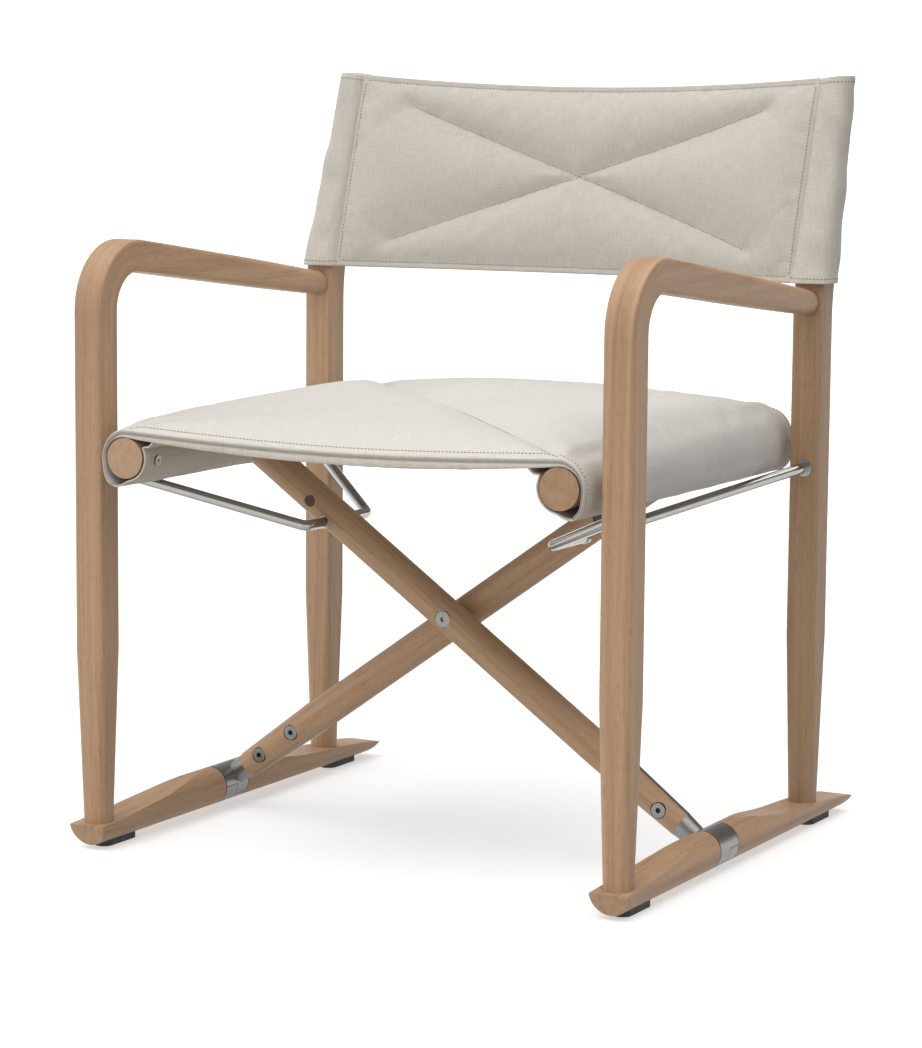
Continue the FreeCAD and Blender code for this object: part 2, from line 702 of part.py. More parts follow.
def back_panel():
    """Padded back between the sleeves: leans with the posts and bows backwards a little."""
    slices = []
    for z, sleeve_half, x in SLEEVE_ENDS:
        half = x - sleeve_half - 0.4
        front = lean_y(z) - BACK_T / 2
        back = front + BACK_T
        near = Part.Arc(V(-half, front, z), V(0, front + BACK_SAG, z), V(half, front, z)).toShape()
        far = Part.Arc(V(half, back, z), V(0, back + BACK_SAG, z), V(-half, back, z)).toShape()
        right = Part.makeLine(V(half, front, z), V(half, back, z))
        left = Part.makeLine(V(-half, back, z), V(-half, front, z))
        slices.append(Part.Wire([near, right, far, left]))
    return Part.makeLoft(slices, True, True)


def make_canvas(post):
    save("seat_panel", seat_panel())
    save_sides("back_sleeve", back_sleeve(post))
    save("back_panel", back_panel())


def main():
    os.makedirs("parts", exist_ok=True)
    post = make_side_frames()
    make_cross_leg(-BAR_Y, "front", "right", "left", False)
    make_cross_leg(BAR_Y, "rear", "left", "right", True)
    make_centre_pivot()
    make_stays()
    make_canvas(post)


main()
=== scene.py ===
import math

import bmesh
import bpy
import numpy as np
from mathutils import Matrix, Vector, noise


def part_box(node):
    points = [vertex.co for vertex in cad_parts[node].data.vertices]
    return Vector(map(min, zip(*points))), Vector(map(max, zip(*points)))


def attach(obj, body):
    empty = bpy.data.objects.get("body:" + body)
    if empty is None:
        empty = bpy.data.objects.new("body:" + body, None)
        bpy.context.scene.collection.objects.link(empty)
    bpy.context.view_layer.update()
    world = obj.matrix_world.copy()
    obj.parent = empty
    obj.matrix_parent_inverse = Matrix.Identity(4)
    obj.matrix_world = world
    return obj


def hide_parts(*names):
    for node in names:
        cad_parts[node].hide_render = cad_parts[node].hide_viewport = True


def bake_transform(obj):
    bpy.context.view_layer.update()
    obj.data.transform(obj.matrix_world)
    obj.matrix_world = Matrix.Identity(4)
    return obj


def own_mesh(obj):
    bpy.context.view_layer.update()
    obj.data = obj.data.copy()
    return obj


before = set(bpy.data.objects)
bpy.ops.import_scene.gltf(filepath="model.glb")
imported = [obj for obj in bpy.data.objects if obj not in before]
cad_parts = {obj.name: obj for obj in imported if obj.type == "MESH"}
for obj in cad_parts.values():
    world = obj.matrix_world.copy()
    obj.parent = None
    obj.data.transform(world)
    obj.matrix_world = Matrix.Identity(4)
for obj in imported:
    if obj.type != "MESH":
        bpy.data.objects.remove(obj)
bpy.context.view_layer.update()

# Everything is in metres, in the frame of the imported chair: +Z up, the sitter faces -Y.

# Side frames and crossed legs
RUNNER_LOW, RUNNER_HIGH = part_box("runner_right")
POST_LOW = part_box("rear_post_right")[0]
POST_X = (RUNNER_LOW.x + RUNNER_HIGH.x) / 2
MEMBER_HALF = 0.017  # half the section of legs, arms and posts
POST_Y = POST_LOW.y + MEMBER_HALF
ARM_BEND_R = 0.057
RUNNER_Z = 0.0255  # axis of both runners
PIVOT_Z = 0.244  # where the crossed legs are bolted
LEG_RISE = math.atan2(PIVOT_Z - RUNNER_Z, POST_X)
SCREWS_ALONG = (0.262, 0.314)  # tongue screws, along each crossed leg from the pivot
HEAD_RIM_R = 0.0079
SOCKET_R = 0.0030
COLLAR_R = 0.0214
COLLAR_EDGE = 0.0011
SPLIT_DROP = 0.013  # the collar's split steps down by this much
SPLIT_HALF = 0.0004

# Rails and seat
RAIL_LOW, RAIL_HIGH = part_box("seat_rail_right")
RAIL_X = (RAIL_LOW.x + RAIL_HIGH.x) / 2
RAIL_Z = (RAIL_LOW.z + RAIL_HIGH.z) / 2
RAIL_R = (RAIL_HIGH.z - RAIL_LOW.z) / 2
RAIL_CLEAR = 0.0006  # between rail and cloth
SEAT_FRONT = RAIL_LOW.y - 0.0004
SEAT_REAR = RAIL_HIGH.y - 0.0015
SEAT_MID = (SEAT_FRONT + SEAT_REAR) / 2
SEAT_HALF = (SEAT_REAR - SEAT_FRONT) / 2

# Seat cover
SEAT_CELLS = 92  # the same both ways, so that the sewn diagonals meet the corners
WRAP_CELLS = 14
WRAP_TAIL = math.radians(151)  # how far the cover goes round the rail from its top
WRAP_EASE = math.radians(75)  # by here the cover lies close round the rail
TAIL_FROM = math.radians(100)  # from here its tail stands off again
EDGE_RISE = (0.0307, 0.0368)  # cover above the rail's axis, at the front and at the rear
CROWN_Z = 0.4665  # the crossing of the sewn diagonals
FRONT_DIP = 0.0085
REAR_RISE = 0.009
UNDER_SAG = 0.0135
WRAP_SIDE_R = 0.0278
WRAP_TAIL_R = 0.0345
WRAP_THICK = 0.0034
SEAT_PUFF = 0.0135
SEAT_PUFF_REACH = 0.021
BAND_LIP = 0.0034  # the quilt's rolled edge above the band
BAND_GAP = 0.0010
SEAM_TRIM = 3  # cells of each diagonal without thread at its ends

# Rims of the seat, as (share of the way from top to underside, distance outward)
WRAP_RIM = [(0.1, 0.0006), (0.25, 0.001), (0.4, 0.0012), (0.5, 0.0012), (0.6, 0.0012), (0.8, 0.001),
            (0.95, 0.0006)]
FLAP_RIM = [(0.2, 0.0005), (0.5, -0.0004), (0.8, 0.0005)]

# Hem flap under each rail
FLAP_ROWS = 72
FLAP_TURN_STEPS = 28
FLAP_RISE_STEPS = 7
FLAP_THICK = 0.0022
FLAP_OUTER_R = 0.0256
FLAP_END = math.radians(118)  # where it leaves the rail, from the rail's lowest point
FLAP_MEETS = 0.036  # and how far inboard of the rail it meets the seat
FLAP_SLACK = 0.0035
FLAP_SHORT = 0.0015  # the flap ends this far inside the seat's edges
OPENING_R = 0.0205
OPENING_DEPTH = 0.09

# Back
BACK_LOW, BACK_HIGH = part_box("back_panel")
LEAN = math.radians(16.7)
LEAN_Z = 0.594
SLEEVE_HALF = (0.0228, 0.0178)  # at the bottom and at the top
SEAM_AHEAD = 0.56  # seams lie this share of the half width ahead of the post's axis
SEAM_OVERLAP = 0.0030  # how far the back's edges reach into the sleeves
SEAM_X = POST_X - SLEEVE_HALF[0]
POST_INSET = 0.004
BACK_LIFT = 0.003
BACK_BOTTOM = BACK_LOW.z + BACK_LIFT
BACK_TOP = BACK_HIGH.z + BACK_LIFT
BACK_HEIGHT = BACK_TOP - BACK_BOTTOM
BACK_CELLS = (112, 46)
BACK_BOW = 0.024
BACK_TOP_DROP = 0.0035  # seam tops stand this much below the tops of the sleeves
BACK_TOP_SAG = 0.0125
BACK_FLAT = 0.0019  # half thickness along every seam
BACK_PUFF = 0.0128
PUFF_REACH = 0.019
QUILT_INSET = (0.11, 0.14)  # ends of the sewn diagonals, as shares of width and height
ON_QUILT = 0.0002
HEM = 0.0055  # row of stitches inside the top and bottom edges
HEM_RIM = [(0.15, 0.0008), (0.42, 0.0008), (0.5, -0.0006), (0.58, 0.0008), (0.85, 0.0008)]
SIDE_RIM = [(share, 0.0) for share, _ in HEM_RIM]

# Sleeves
SLEEVE_AROUND = 72
SLEEVE_ROWS = 44
SLEEVE_INNER_ROWS = 14
SLEEVE_POWER = 2.9  # of the rounded square that the sleeve is in section
SLEEVE_THICK = 0.0021
SLEEVE_FLARE = 0.0014
SLEEVE_SHORT = 0.0012
SLEEVE_HOLLOW = 0.006  # its inside ends this far below its top
SLEEVE_FOOT = ((0.7, -0.0007), (0.5, 0.0004), (0.3, -0.0007))  # share of its thickness, lift
SLEEVE_TOP = ((0.97, 0.0010), (0.92, 0.0008), (0.86, -0.0004), (0.6, 0.0006), (0.3, 0.0010))  # scale, lift

# Thread
STITCH_PITCH = 0.0042
STITCH_LENGTH = 0.0030
STITCH_R = 0.00055
STITCH_SIDES = 6
STITCH_SHAPE = ((0, 0.35, -0.6), (0.16, 0.9, 0.25), (0.5, 1.0, 0.55), (0.84, 0.9, 0.25), (1, 0.35, -0.6))

# Cloth
CLOTH_SETTINGS = {
    "quality": 5, "mass": 0.1, "tension_stiffness": 12, "compression_stiffness": 12, "shear_stiffness": 4,
    "bending_stiffness": 0.3, "vertex_group_mass": "seams", "use_pressure": True, "uniform_pressure_force": 3.0,
}
SWELL_FRAMES = 16
WEAVE_PITCH = 0.00115

# Painted light falloff: the right-hand (+X) boards are painted darker and the left-hand boards lighter, as if a
# lamp at the front left lit them unevenly. Above 0 is darker, below 0 is lighter.
PAINTED_LIGHT_FALLOFF = {
    "wood_post_right": 0.24, "wood_post_left": -0.05, "wood_rail_right": 0.14, "wood_rail_left": -0.12,
}

# Stage
STAGE_REACH = 30.0
BACKDROP_HEIGHT = 4.5
BACKDROP_SIDES = 64
FLOOR_GLOW = 0.45
WORLD_LIGHT = 0.47
WORLD_LEAN = (-0.27, -0.20, -0.08)  # the studio is brighter on the picture's left and in front
STUDIO_SUNS = (
    ("key_above", (0.05, -0.12, 1.0), 2.5, 80),
    ("fill_left", (-1.0, -0.5, 0.5), 0.25, 50),
)

# Camera
CAMERA_AT = (1.6768, -3.1850, 0.8151)
CAMERA_TARGET = (0.00185, -0.0348, 0.3434)
CAMERA_ROLL = math.radians(0.47)
CAMERA_LENS = 114.5
CAMERA_SENSOR = 36


# ---- mesh helpers

def add_object(name, data):
    obj = bpy.data.objects.new(name, data)
    bpy.context.scene.collection.objects.link(obj)
    return obj


def make_object(name, points, faces):
    mesh = bpy.data.meshes.new(name)
    mesh.from_pydata([tuple(p) for p in points], [], faces)
    made = bmesh.new()
    made.from_mesh(mesh)
    bmesh.ops.recalc_face_normals(made, faces=made.faces)
    made.to_mesh(mesh)
    made.free()
    mesh.shade_smooth()
    return add_object(name, mesh)


def positions(obj, what="co"):
    flat = np.empty(len(obj.data.vertices) * 3)
    obj.data.vertices.foreach_get(what, flat)
    return flat.reshape(-1, 3)


def set_positions(obj, points):
    obj.data.vertices.foreach_set("co", np.asarray(points, float).ravel())
    obj.data.update()


def normals(obj):
    return positions(obj, "normal")


def bake_modifiers(obj):
    """The object's mesh becomes what its modifiers make of it, and no modifier is left."""
    graph = bpy.context.evaluated_depsgraph_get()
    graph.update()
    mesh = bpy.data.meshes.new_from_object(obj.evaluated_get(graph))
    obj.modifiers.clear()
    obj.data = mesh
    mesh.name = obj.name
    mesh.shade_smooth()


def subdivide(obj):
    surface = obj.modifiers.new("surface", "SUBSURF")
    surface.levels = 1
    surface.render_levels = 1
    bake_modifiers(obj)


def cloth_coordinates(obj, rule):
    """Stores where each point lies on the flat cloth, in metres, for the weave to follow."""
    flat = np.zeros((len(obj.data.vertices), 3))
    flat[:, :2] = rule(positions(obj))
    layer = obj.data.attributes.new("cloth", "FLOAT_VECTOR", "POINT")
    layer.data.foreach_set("vector", flat.ravel())


def smooth_step(t):
    t = np.clip(t, 0, 1)
    return t * t * (3 - 2 * t)


def ripple(points, size, amount, seed):
    """Soft uneven folds: each point's share of amount, from smooth noise of that size."""
    shift = Vector((seed * 7.3, seed * 3.1, seed * 5.7))
    return np.array([amount * noise.noise(Vector(p) / size + shift) for p in points])


def ring_of(rows, cols):
    """Row and column of each point round the edge of a grid."""
    ring = [(0, c) for c in range(cols)]
    ring += [(r, cols - 1) for r in range(1, rows)]
    ring += [(rows - 1, c) for c in range(cols - 2, -1, -1)]
    ring += [(r, 0) for r in range(rows - 2, 0, -1)]
    return ring


def edge_outward(top, r, c):
    """Direction out of a grid's edge: along Y at its first and last row, else away from its inside."""
    last = top.shape[0] - 1
    if r in (0, last):
        return np.array([0, -1.0 if r == 0 else 1.0, 0])
    away = top[r, c] - top[r, c + (1 if c == 0 else -1)]
    return away / np.linalg.norm(away)


def shell(name, top, under, outward, rim):
    """A closed pad from two grids of points, joined by rim rows: (share of the way, outward)."""
    rows, cols = top.shape[:2]
    count = rows * cols
    loop = ring_of(rows, cols)
    points = [top.reshape(-1, 3), under.reshape(-1, 3)]
    rings = [[r * cols + c for r, c in loop]]
    rim = np.array(rim)
    for row in range(rim.shape[1]):
        ring = []
        for step, (r, c) in enumerate(loop):
            share, out = rim[step, row]
            ring.append(top[r, c] + (under[r, c] - top[r, c]) * share + outward[step] * out)
        first = 2 * count + row * len(loop)
        points.append(np.array(ring))
        rings.append(list(range(first, first + len(loop))))
    rings.append([count + r * cols + c for r, c in loop])
    faces = []
    for r in range(rows - 1):
        for c in range(cols - 1):
            a = r * cols + c
            faces.append((a, a + 1, a + cols + 1, a + cols))
            faces.append((count + a, count + a + cols, count + a + cols + 1, count + a + 1))
    for upper, lower in zip(rings, rings[1:]):
        for k in range(len(loop)):
            n = (k + 1) % len(loop)
            faces.append((upper[k], lower[k], lower[n], upper[n]))
    return make_object(name, np.vstack(points), faces)


def both_sides(indices, count):
    """Grid points of a shell's top, and the same points of its underside."""
    indices = list(indices)
    return indices + [count + i for i in indices]


def inflate(obj, pinned, slack, cap):
    """Cloth under pressure, held at its seams; no point moves further than cap from its start."""
    start = positions(obj)
    group = obj.vertex_groups.new(name="seams")
    group.add(sorted(pinned), 1.0, "REPLACE")
    cloth = obj.modifiers.new("cloth", "CLOTH")
    for name, value in CLOTH_SETTINGS.items():
        setattr(cloth.settings, name, value)
    cloth.settings.shrink_min = -slack
    cloth.settings.effector_weights.gravity = 0
    cloth.collision_settings.use_collision = False
    cloth.collision_settings.use_self_collision = False
    cloth.point_cache.frame_start = 1
    cloth.point_cache.frame_end = SWELL_FRAMES
    scene = bpy.context.scene
    scene.frame_start = 1
    scene.frame_end = SWELL_FRAMES
    for step in range(1, SWELL_FRAMES + 1):
        scene.frame_set(step)
    bake_modifiers(obj)
    scene.frame_set(1)
    moved = positions(obj) - start
    length = np.linalg.norm(moved, axis=1, keepdims=True)
    shorter = np.minimum(1, cap * np.tanh(length / cap) / np.maximum(length, 1e-9))
    set_positions(obj, start + moved * shorter)
    obj.vertex_groups.clear()


# ---- stitches

def length_along(path):
    """Length of a path up to each of its points."""
    steps = np.linalg.norm(np.diff(path, axis=0), axis=1)
    return np.concatenate([[0], np.cumsum(steps)])


def between(at, run, values):
    """The three values at a length along a path, from those at its points."""
    return np.array([np.interp(at, run, values[:, k]) for k in range(3)])


def stitch(start, end, up):
    """Rings of points of one stitch: sunk ends and a raised middle."""
    side = np.cross((end - start) / np.linalg.norm(end - start), up)
    points = []
    for share, width, height in STITCH_SHAPE:
        centre = start + (end - start) * share + up * STITCH_R * height
        for k in range(STITCH_SIDES):
            turn = 2 * math.pi * k / STITCH_SIDES
            points.append(centre + (side * math.cos(turn) + up * math.sin(turn)) * STITCH_R * width)
    return points


def tube_faces(rings, around, base=0):
    """Faces of a closed tube whose points follow each other ring by ring from base."""
    faces = []
    for r in range(rings - 1):
        a = base + r * around
        for k in range(around):
            n = (k + 1) % around
            faces.append((a + k, a + n, a + around + n, a + around + k))
    faces.append(tuple(base + (rings - 1) * around + k for k in range(around)))
    faces.append(tuple(base + k for k in reversed(range(around))))
    return faces


def stitches(name, lines):
    """Rows of short thread stitches. Each line is (points, normals) along a seam."""
    points = []
    faces = []
    for path, lift in lines:
        run = length_along(path)
        for begin in np.arange(STITCH_PITCH / 2, run[-1] - STITCH_LENGTH, STITCH_PITCH):
            start = between(begin, run, path)
            end = between(begin + STITCH_LENGTH, run, path)
            along = (end - start) / np.linalg.norm(end - start)
            up = between(begin, run, lift)
            up -= along * up.dot(along)
            up /= np.linalg.norm(up)
            faces += tube_faces(len(STITCH_SHAPE), STITCH_SIDES, len(points))
            points += stitch(start, end, up)
    return make_object(name, points, faces)


def seam_line(obj, indices):
    """Points and normals of a run of mesh vertices, for stitches() to follow."""
    return positions(obj)[indices], normals(obj)[indices]


def sew(obj, lines):
    """Folds the mesh along each run of vertices, so that subdivision leaves a sharp groove there."""
    made = bmesh.new()
    made.from_mesh(obj.data)
    made.verts.ensure_lookup_table()
    crease = made.edges.layers.float.new("crease_edge")
    for line in lines:
        for a, b in zip(line, line[1:]):
            first = made.verts[a]
            second = made.verts[b]
            edge = made.edges.get((first, second))
            if edge is None:
                shared = [face for face in first.link_faces if second in face.verts]
                if not shared:
                    continue
                bmesh.utils.face_split(shared[0], first, second)
                edge = made.edges.get((first, second))
            edge[crease] = 1.0
    made.to_mesh(obj.data)
    made.free()


def tucks(obj, lines, seed, depth=0.0016, length=0.022, width=0.0045, every=0.042):
    """Short pulls in the cloth beside a seam, square to it. Each line is (vertices, inward vector)."""
    rng = np.random.default_rng(seed)
    where = positions(obj)
    lift = normals(obj)
    push = np.zeros(len(where))
    for line, inward in lines:
        path = where[line]
        run = length_along(path)
        at = every * rng.uniform(0.3, 1.0)
        while at < run[-1]:
            spot = between(at, run, path)
            heading = np.array(inward, float)
            along = path[-1] - path[0]
            along /= np.linalg.norm(along)
            heading = heading + along * rng.uniform(-0.5, 0.5)
            heading /= np.linalg.norm(heading)
            away = where - spot
            ahead = away @ heading
            aside = np.sqrt(np.maximum((away ** 2).sum(axis=1) - ahead ** 2, 0))
            reach = length * rng.uniform(0.6, 1.5)
            wide = width * rng.uniform(0.8, 1.5)
            rise = np.clip((ahead + 0.002) / 0.006, 0, 1) * np.exp(-np.maximum(ahead, 0) / (reach * 0.5))
            push -= depth * rng.uniform(0.4, 1.0) * rise * np.exp(-(aside / wide) ** 2)
            at += every * rng.uniform(0.5, 1.6)
    set_positions(obj, where + lift * push[:, None])


# ---- seat

def rail_rise(y):
    share = (y - SEAT_FRONT) / (2 * SEAT_HALF)
    return EDGE_RISE[0] + (EDGE_RISE[1] - EDGE_RISE[0]) * smooth_step(share * 1.1)


def seam_distance(x, y):
    """Distance from a point on the seat to its nearest edge or sewn diagonal."""
    u = abs(x) / RAIL_X
    v = abs(y - SEAT_MID) / SEAT_HALF
    slope = math.hypot(1 / RAIL_X, 1 / SEAT_HALF)
    return min(abs(u - v) / slope, (1 - v) * SEAT_HALF, (1 - u) * RAIL_X + 0.02)


def seat_top_z(x, y):
    edge = RAIL_Z + rail_rise(y)
    u = abs(x) / RAIL_X
    v = (y - SEAT_MID) / SEAT_HALF
    outer = max(u, abs(v))
    z = edge + (CROWN_Z - edge) * (1 - outer)
    if abs(v) > u:
        bulge = math.cos(math.pi / 2 * x / (RAIL_X * abs(v))) * outer ** 2
        z += (REAR_RISE if v > 0 else -FRONT_DIP) * bulge
    return z


def cover_point(column, y):
    """Outer and inner point of the seat cover for a column, counted from the left tail."""
    rise = float(rail_rise(y))
    side = -1 if column < WRAP_CELLS + SEAT_CELLS / 2 else 1
    past = WRAP_CELLS - column if side < 0 else column - WRAP_CELLS - SEAT_CELLS
    if past > 0:
        turn = WRAP_TAIL * past / WRAP_CELLS
        ease = float(smooth_step(turn / WRAP_EASE))
        tail = float(smooth_step((turn - TAIL_FROM) / (WRAP_TAIL - TAIL_FROM)))
        radius = rise + (WRAP_SIDE_R - rise) * ease + (WRAP_TAIL_R - WRAP_SIDE_R) * tail
        thick = (rise - RAIL_R - RAIL_CLEAR) * (1 - ease) + WRAP_THICK * ease
        out = np.array([side * math.sin(turn), 0, math.cos(turn)])
        axis = np.array([side * RAIL_X, y, RAIL_Z])
        return axis + out * radius, axis + out * (radius - thick)
    x = RAIL_X * (2 * (column - WRAP_CELLS) / SEAT_CELLS - 1)
    puff = SEAT_PUFF * (1 - math.exp(-seam_distance(x, y) / SEAT_PUFF_REACH))
    hang = UNDER_SAG * math.cos(math.pi / 2 * x / RAIL_X) ** 0.8 if abs(x) < RAIL_X else 0
    return np.array([x, y, seat_top_z(x, y) + puff]), np.array([x, y, RAIL_Z + RAIL_R + RAIL_CLEAR - hang])


def band_rim(thick):
    """Rim of the seat's front and rear edges: a rolled lip, a sewn gap, and the band below it."""
    lip = min(BAND_LIP / thick, 0.42)
    gap = min(BAND_GAP / thick, 0.15)
    return [(lip * 0.3, 0.0012), (lip * 0.9, 0.0010), (lip + gap, -0.0034), (lip + 2 * gap, -0.0034),
            (lip + 3 * gap, 0.0003), (0.5 + lip / 2 + gap, 0.0007), (0.96, 0.0004)]


def make_seat():
    rows = SEAT_CELLS + 1
    cols = SEAT_CELLS + 2 * WRAP_CELLS + 1
    count = rows * cols
    top = np.empty((rows, cols, 3))
    under = np.empty((rows, cols, 3))
    for r in range(rows):
        y = SEAT_FRONT + 2 * SEAT_HALF * r / SEAT_CELLS
        for c in range(cols):
            top[r, c], under[r, c] = cover_point(c, y)
    loop = ring_of(rows, cols)
    outward = [edge_outward(top, r, c) for r, c in loop]
    rim = [band_rim(np.linalg.norm(top[r, c] - under[r, c])) if r in (0, rows - 1) else WRAP_RIM
           for r, c in loop]
    seat = shell("seat_cover", top, under, outward, rim)
    diagonals = [[r * cols + WRAP_CELLS + r for r in range(rows)],
                 [r * cols + WRAP_CELLS + SEAT_CELLS - r for r in range(rows)]]
    held = [r * cols + c for r in range(rows) for c in range(cols)
            if r in (0, 1, rows - 2, rows - 1) or not WRAP_CELLS - 3 < c < WRAP_CELLS + SEAT_CELLS + 3]
    rim_points = range(2 * count, len(seat.data.vertices))
    inflate(seat, {*rim_points, *both_sides(held + diagonals[0] + diagonals[1], count)}, 0.006, 0.005)
    pulls = [(diagonals[0], (0.7, -0.7, 0)), (diagonals[1], (0.7, 0.7, 0)),
             (diagonals[0], (-0.7, 0.7, 0)), (diagonals[1], (-0.7, -0.7, 0))]
    tucks(seat, pulls, seed=31, depth=0.0011, length=0.03, width=0.007, every=0.075)
    wrinkle_wraps(seat)
    sew(seat, diagonals)
    subdivide(seat)
    edges = [[row * cols + c for c in range(2, cols - 2)] for row in (1, rows - 2)]
    runs = [line[SEAM_TRIM:-SEAM_TRIM] for line in diagonals] + edges
    thread = stitches("seat_stitching", [seam_line(seat, run) for run in runs])
    cloth_coordinates(seat, seat_weave)
    return seat, thread


def paint_band(seat):
    """The band along the front and rear edges is cut from the darker canvas."""
    for face in seat.data.polygons:
        below = face.center.z < RAIL_Z + rail_rise(face.center.y) - BAND_LIP - BAND_GAP
        if abs(face.normal.y) > 0.6 and (below or abs(face.center.x) > RAIL_X):
            face.material_index = 1


def wrinkle_wraps(seat):
    """Slack folds where the cover rounds the rails and hangs at its tail."""
    where = positions(seat)
    side = np.sign(where[:, 0])
    past = np.clip((np.abs(where[:, 0]) - RAIL_X) / 0.02, 0, 1)
    low = np.clip((RAIL_Z + 0.012 - where[:, 2]) / 0.03, 0, 1)
    amount = past * (0.3 + low)
    wave = ripple(where * np.array([0.4, 1, 0.5]), 0.034, 0.0026, 2)
    where[:, 0] += side * wave * amount
    where[:, 2] += wave * amount * 0.5
    set_positions(seat, where)


def seat_weave(points):
    x, y, z = points.T
    past = np.abs(x) - RAIL_X
    turn = np.arctan2(past, z - RAIL_Z)
    wrapped = np.sign(x) * (RAIL_X + np.maximum(turn, 0) * WRAP_SIDE_R)
    return np.column_stack([np.where(past > 0, wrapped, x), y])


def flap_path():
    """Section of a hem, as (sideways from the rail, above the rail's axis)."""
    outline = []
    tail_turn = WRAP_TAIL - math.pi
    for k in range(FLAP_TURN_STEPS + 1):
        turn = tail_turn + (FLAP_END - tail_turn) * k / FLAP_TURN_STEPS
        tail = float(smooth_step((math.radians(12) - turn) / math.radians(41)))
        radius = FLAP_OUTER_R + (WRAP_TAIL_R - FLAP_OUTER_R) * tail
        outline.append((-radius * math.sin(turn), -radius * math.cos(turn)))
    leave = np.array(outline[-1])
    meet = np.array([-FLAP_MEETS, RAIL_R - FLAP_THICK])
    for k in range(1, FLAP_RISE_STEPS + 1):
        share = k / FLAP_RISE_STEPS
        drop = FLAP_SLACK * math.sin(math.pi * share)
        outline.append(leave + (meet - leave) * share - (0, drop))
    return np.array(outline)


def make_flap(side):
    """The hem below the seat: from the cover's tail under the rail and up its inner side."""
    path = flap_path()
    tangent = np.gradient(path, axis=0)
    tangent /= np.linalg.norm(tangent, axis=1, keepdims=True)
    inner = path + np.column_stack([tangent[:, 1], -tangent[:, 0]]) * FLAP_THICK
    cols = len(path)
    top = np.empty((FLAP_ROWS, cols, 3))
    under = np.empty((FLAP_ROWS, cols, 3))
    front = SEAT_FRONT + FLAP_SHORT
    rear = SEAT_REAR - FLAP_SHORT
    for grid, line in ((top, path), (under, inner)):
        grid[:, :, 0] = side * (RAIL_X + line[:, 0])
        grid[:, :, 1] = np.linspace(front, rear, FLAP_ROWS)[:, None]
        grid[:, :, 2] = RAIL_Z + line[:, 1]
    loop = ring_of(FLAP_ROWS, cols)
    outward = [edge_outward(top, r, c) for r, c in loop]
    name = "seat_flap_right" if side > 0 else "seat_flap_left"
    flap = shell(name, top, under, outward, [FLAP_RIM] * len(loop))
    where = positions(flap)
    where[:, 2] += ripple(where, 0.045, 0.0009, 5 + side)
    set_positions(flap, where)
    subdivide(flap)
    open_for_leg(flap, "cross_leg_front" if side < 0 else "cross_leg_rear", side)
    cloth_coordinates(flap, lambda p: np.column_stack(
        [np.arctan2(p[:, 2] - RAIL_Z, np.abs(p[:, 0]) - RAIL_X) * RAIL_R, p[:, 1]]))
    return flap, (rear - front, float(length_along(path)[-1]))


def open_for_leg(flap, leg, side):
    """Cuts a round opening in the hem where the crossed leg reaches its rail."""
    low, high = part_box(leg)
    centre_y = (low.y + high.y) / 2
    pivot = Vector((0, centre_y, PIVOT_Z))
    rail = Vector((side * RAIL_X, centre_y, RAIL_Z))
    along = (pivot - rail).normalized()
    cutter = bpy.data.meshes.new("opening")
    made = bmesh.new()
    bmesh.ops.create_cone(made, cap_ends=True, segments=64, radius1=OPENING_R, radius2=OPENING_R,
                          depth=OPENING_DEPTH)
    made.to_mesh(cutter)
    made.free()
    tool = add_object("opening", cutter)
    tool.rotation_mode = "QUATERNION"
    tool.rotation_quaternion = along.to_track_quat("Z", "Y")
    tool.location = rail + along * OPENING_DEPTH / 2
    bpy.context.view_layer.update()
    boolean = flap.modifiers.new("opening", "BOOLEAN")
    boolean.operation = "DIFFERENCE"
    boolean.object = tool
    boolean.solver = "EXACT"
    bake_modifiers(flap)
    bpy.data.objects.remove(tool)


# ---- back

def lean_y(z):
    return POST_Y + (z - LEAN_Z) * math.tan(LEAN)


def height_share(z):
    return (z - BACK_BOTTOM) / BACK_HEIGHT


def post_x(z):
    return POST_X - POST_INSET * height_share(z)


def sleeve_half(z):
    return SLEEVE_HALF[0] + (SLEEVE_HALF[1] - SLEEVE_HALF[0]) * height_share(z)


def back_centre(u, v):
    """Point on the middle surface of the back, and its backward direction."""
    z = BACK_BOTTOM + v * (BACK_TOP - BACK_TOP_DROP - BACK_BOTTOM)
    half = post_x(z) - sleeve_half(z) + SEAM_OVERLAP
    x = half * (2 * u - 1)
    belly = 4 * u * (1 - u)
    y = lean_y(z) - SEAM_AHEAD * sleeve_half(z) + BACK_BOW * belly
    z -= BACK_TOP_SAG * belly * v * v
    return np.array([x, y, z]), np.array([0, math.cos(LEAN), -math.sin(LEAN)])


def quilt_heights(u):
    """Heights of both sewn diagonals at a share of the width, and none past their ends."""
    inset_u, inset_v = QUILT_INSET
    across = (u - inset_u) / (1 - 2 * inset_u)
    if not -0.001 <= across <= 1.001:
        return []
    return [inset_v + (1 - 2 * inset_v) * share for share in (across, 1 - across)]


def back_grid():
    """Shares of width and height of the back's points, and the points along both sewn diagonals.

    One row lies on each line of hem stitches.
    """
    hem = HEM / BACK_HEIGHT
    inner = np.linspace(hem, 1 - hem, BACK_CELLS[1] - 3)
    shares = np.concatenate([[0, 0.5 * hem], inner, [1 - 0.5 * hem, 1]])
    cols = BACK_CELLS[0] + 1
    grid = np.empty((len(shares), cols, 2))
    diagonals = [[], []]
    for c in range(cols):
        u = c / (cols - 1)
        column = shares.copy()
        for v in quilt_heights(u):
            column[int(np.argmin(np.abs(shares - v)))] = v
        for line, v in zip(diagonals, quilt_heights(u)):
            line.append(int(np.argmin(np.abs(column - v))) * cols + c)
        grid[:, c, 0] = u
        grid[:, c, 1] = column
    return grid, diagonals


def quilt_distance(u, v):
    """Distance from a point of the back to its nearest sewn diagonal."""
    size = np.array([2 * SEAM_X, BACK_HEIGHT])
    low = np.array(QUILT_INSET) * size
    high = (1 - np.array(QUILT_INSET)) * size
    spot = np.array([u, v]) * size
    rising = segment_distance(spot, low, high)
    falling = segment_distance(spot, np.array([low[0], high[1]]), np.array([high[0], low[1]]))
    return min(rising, falling)


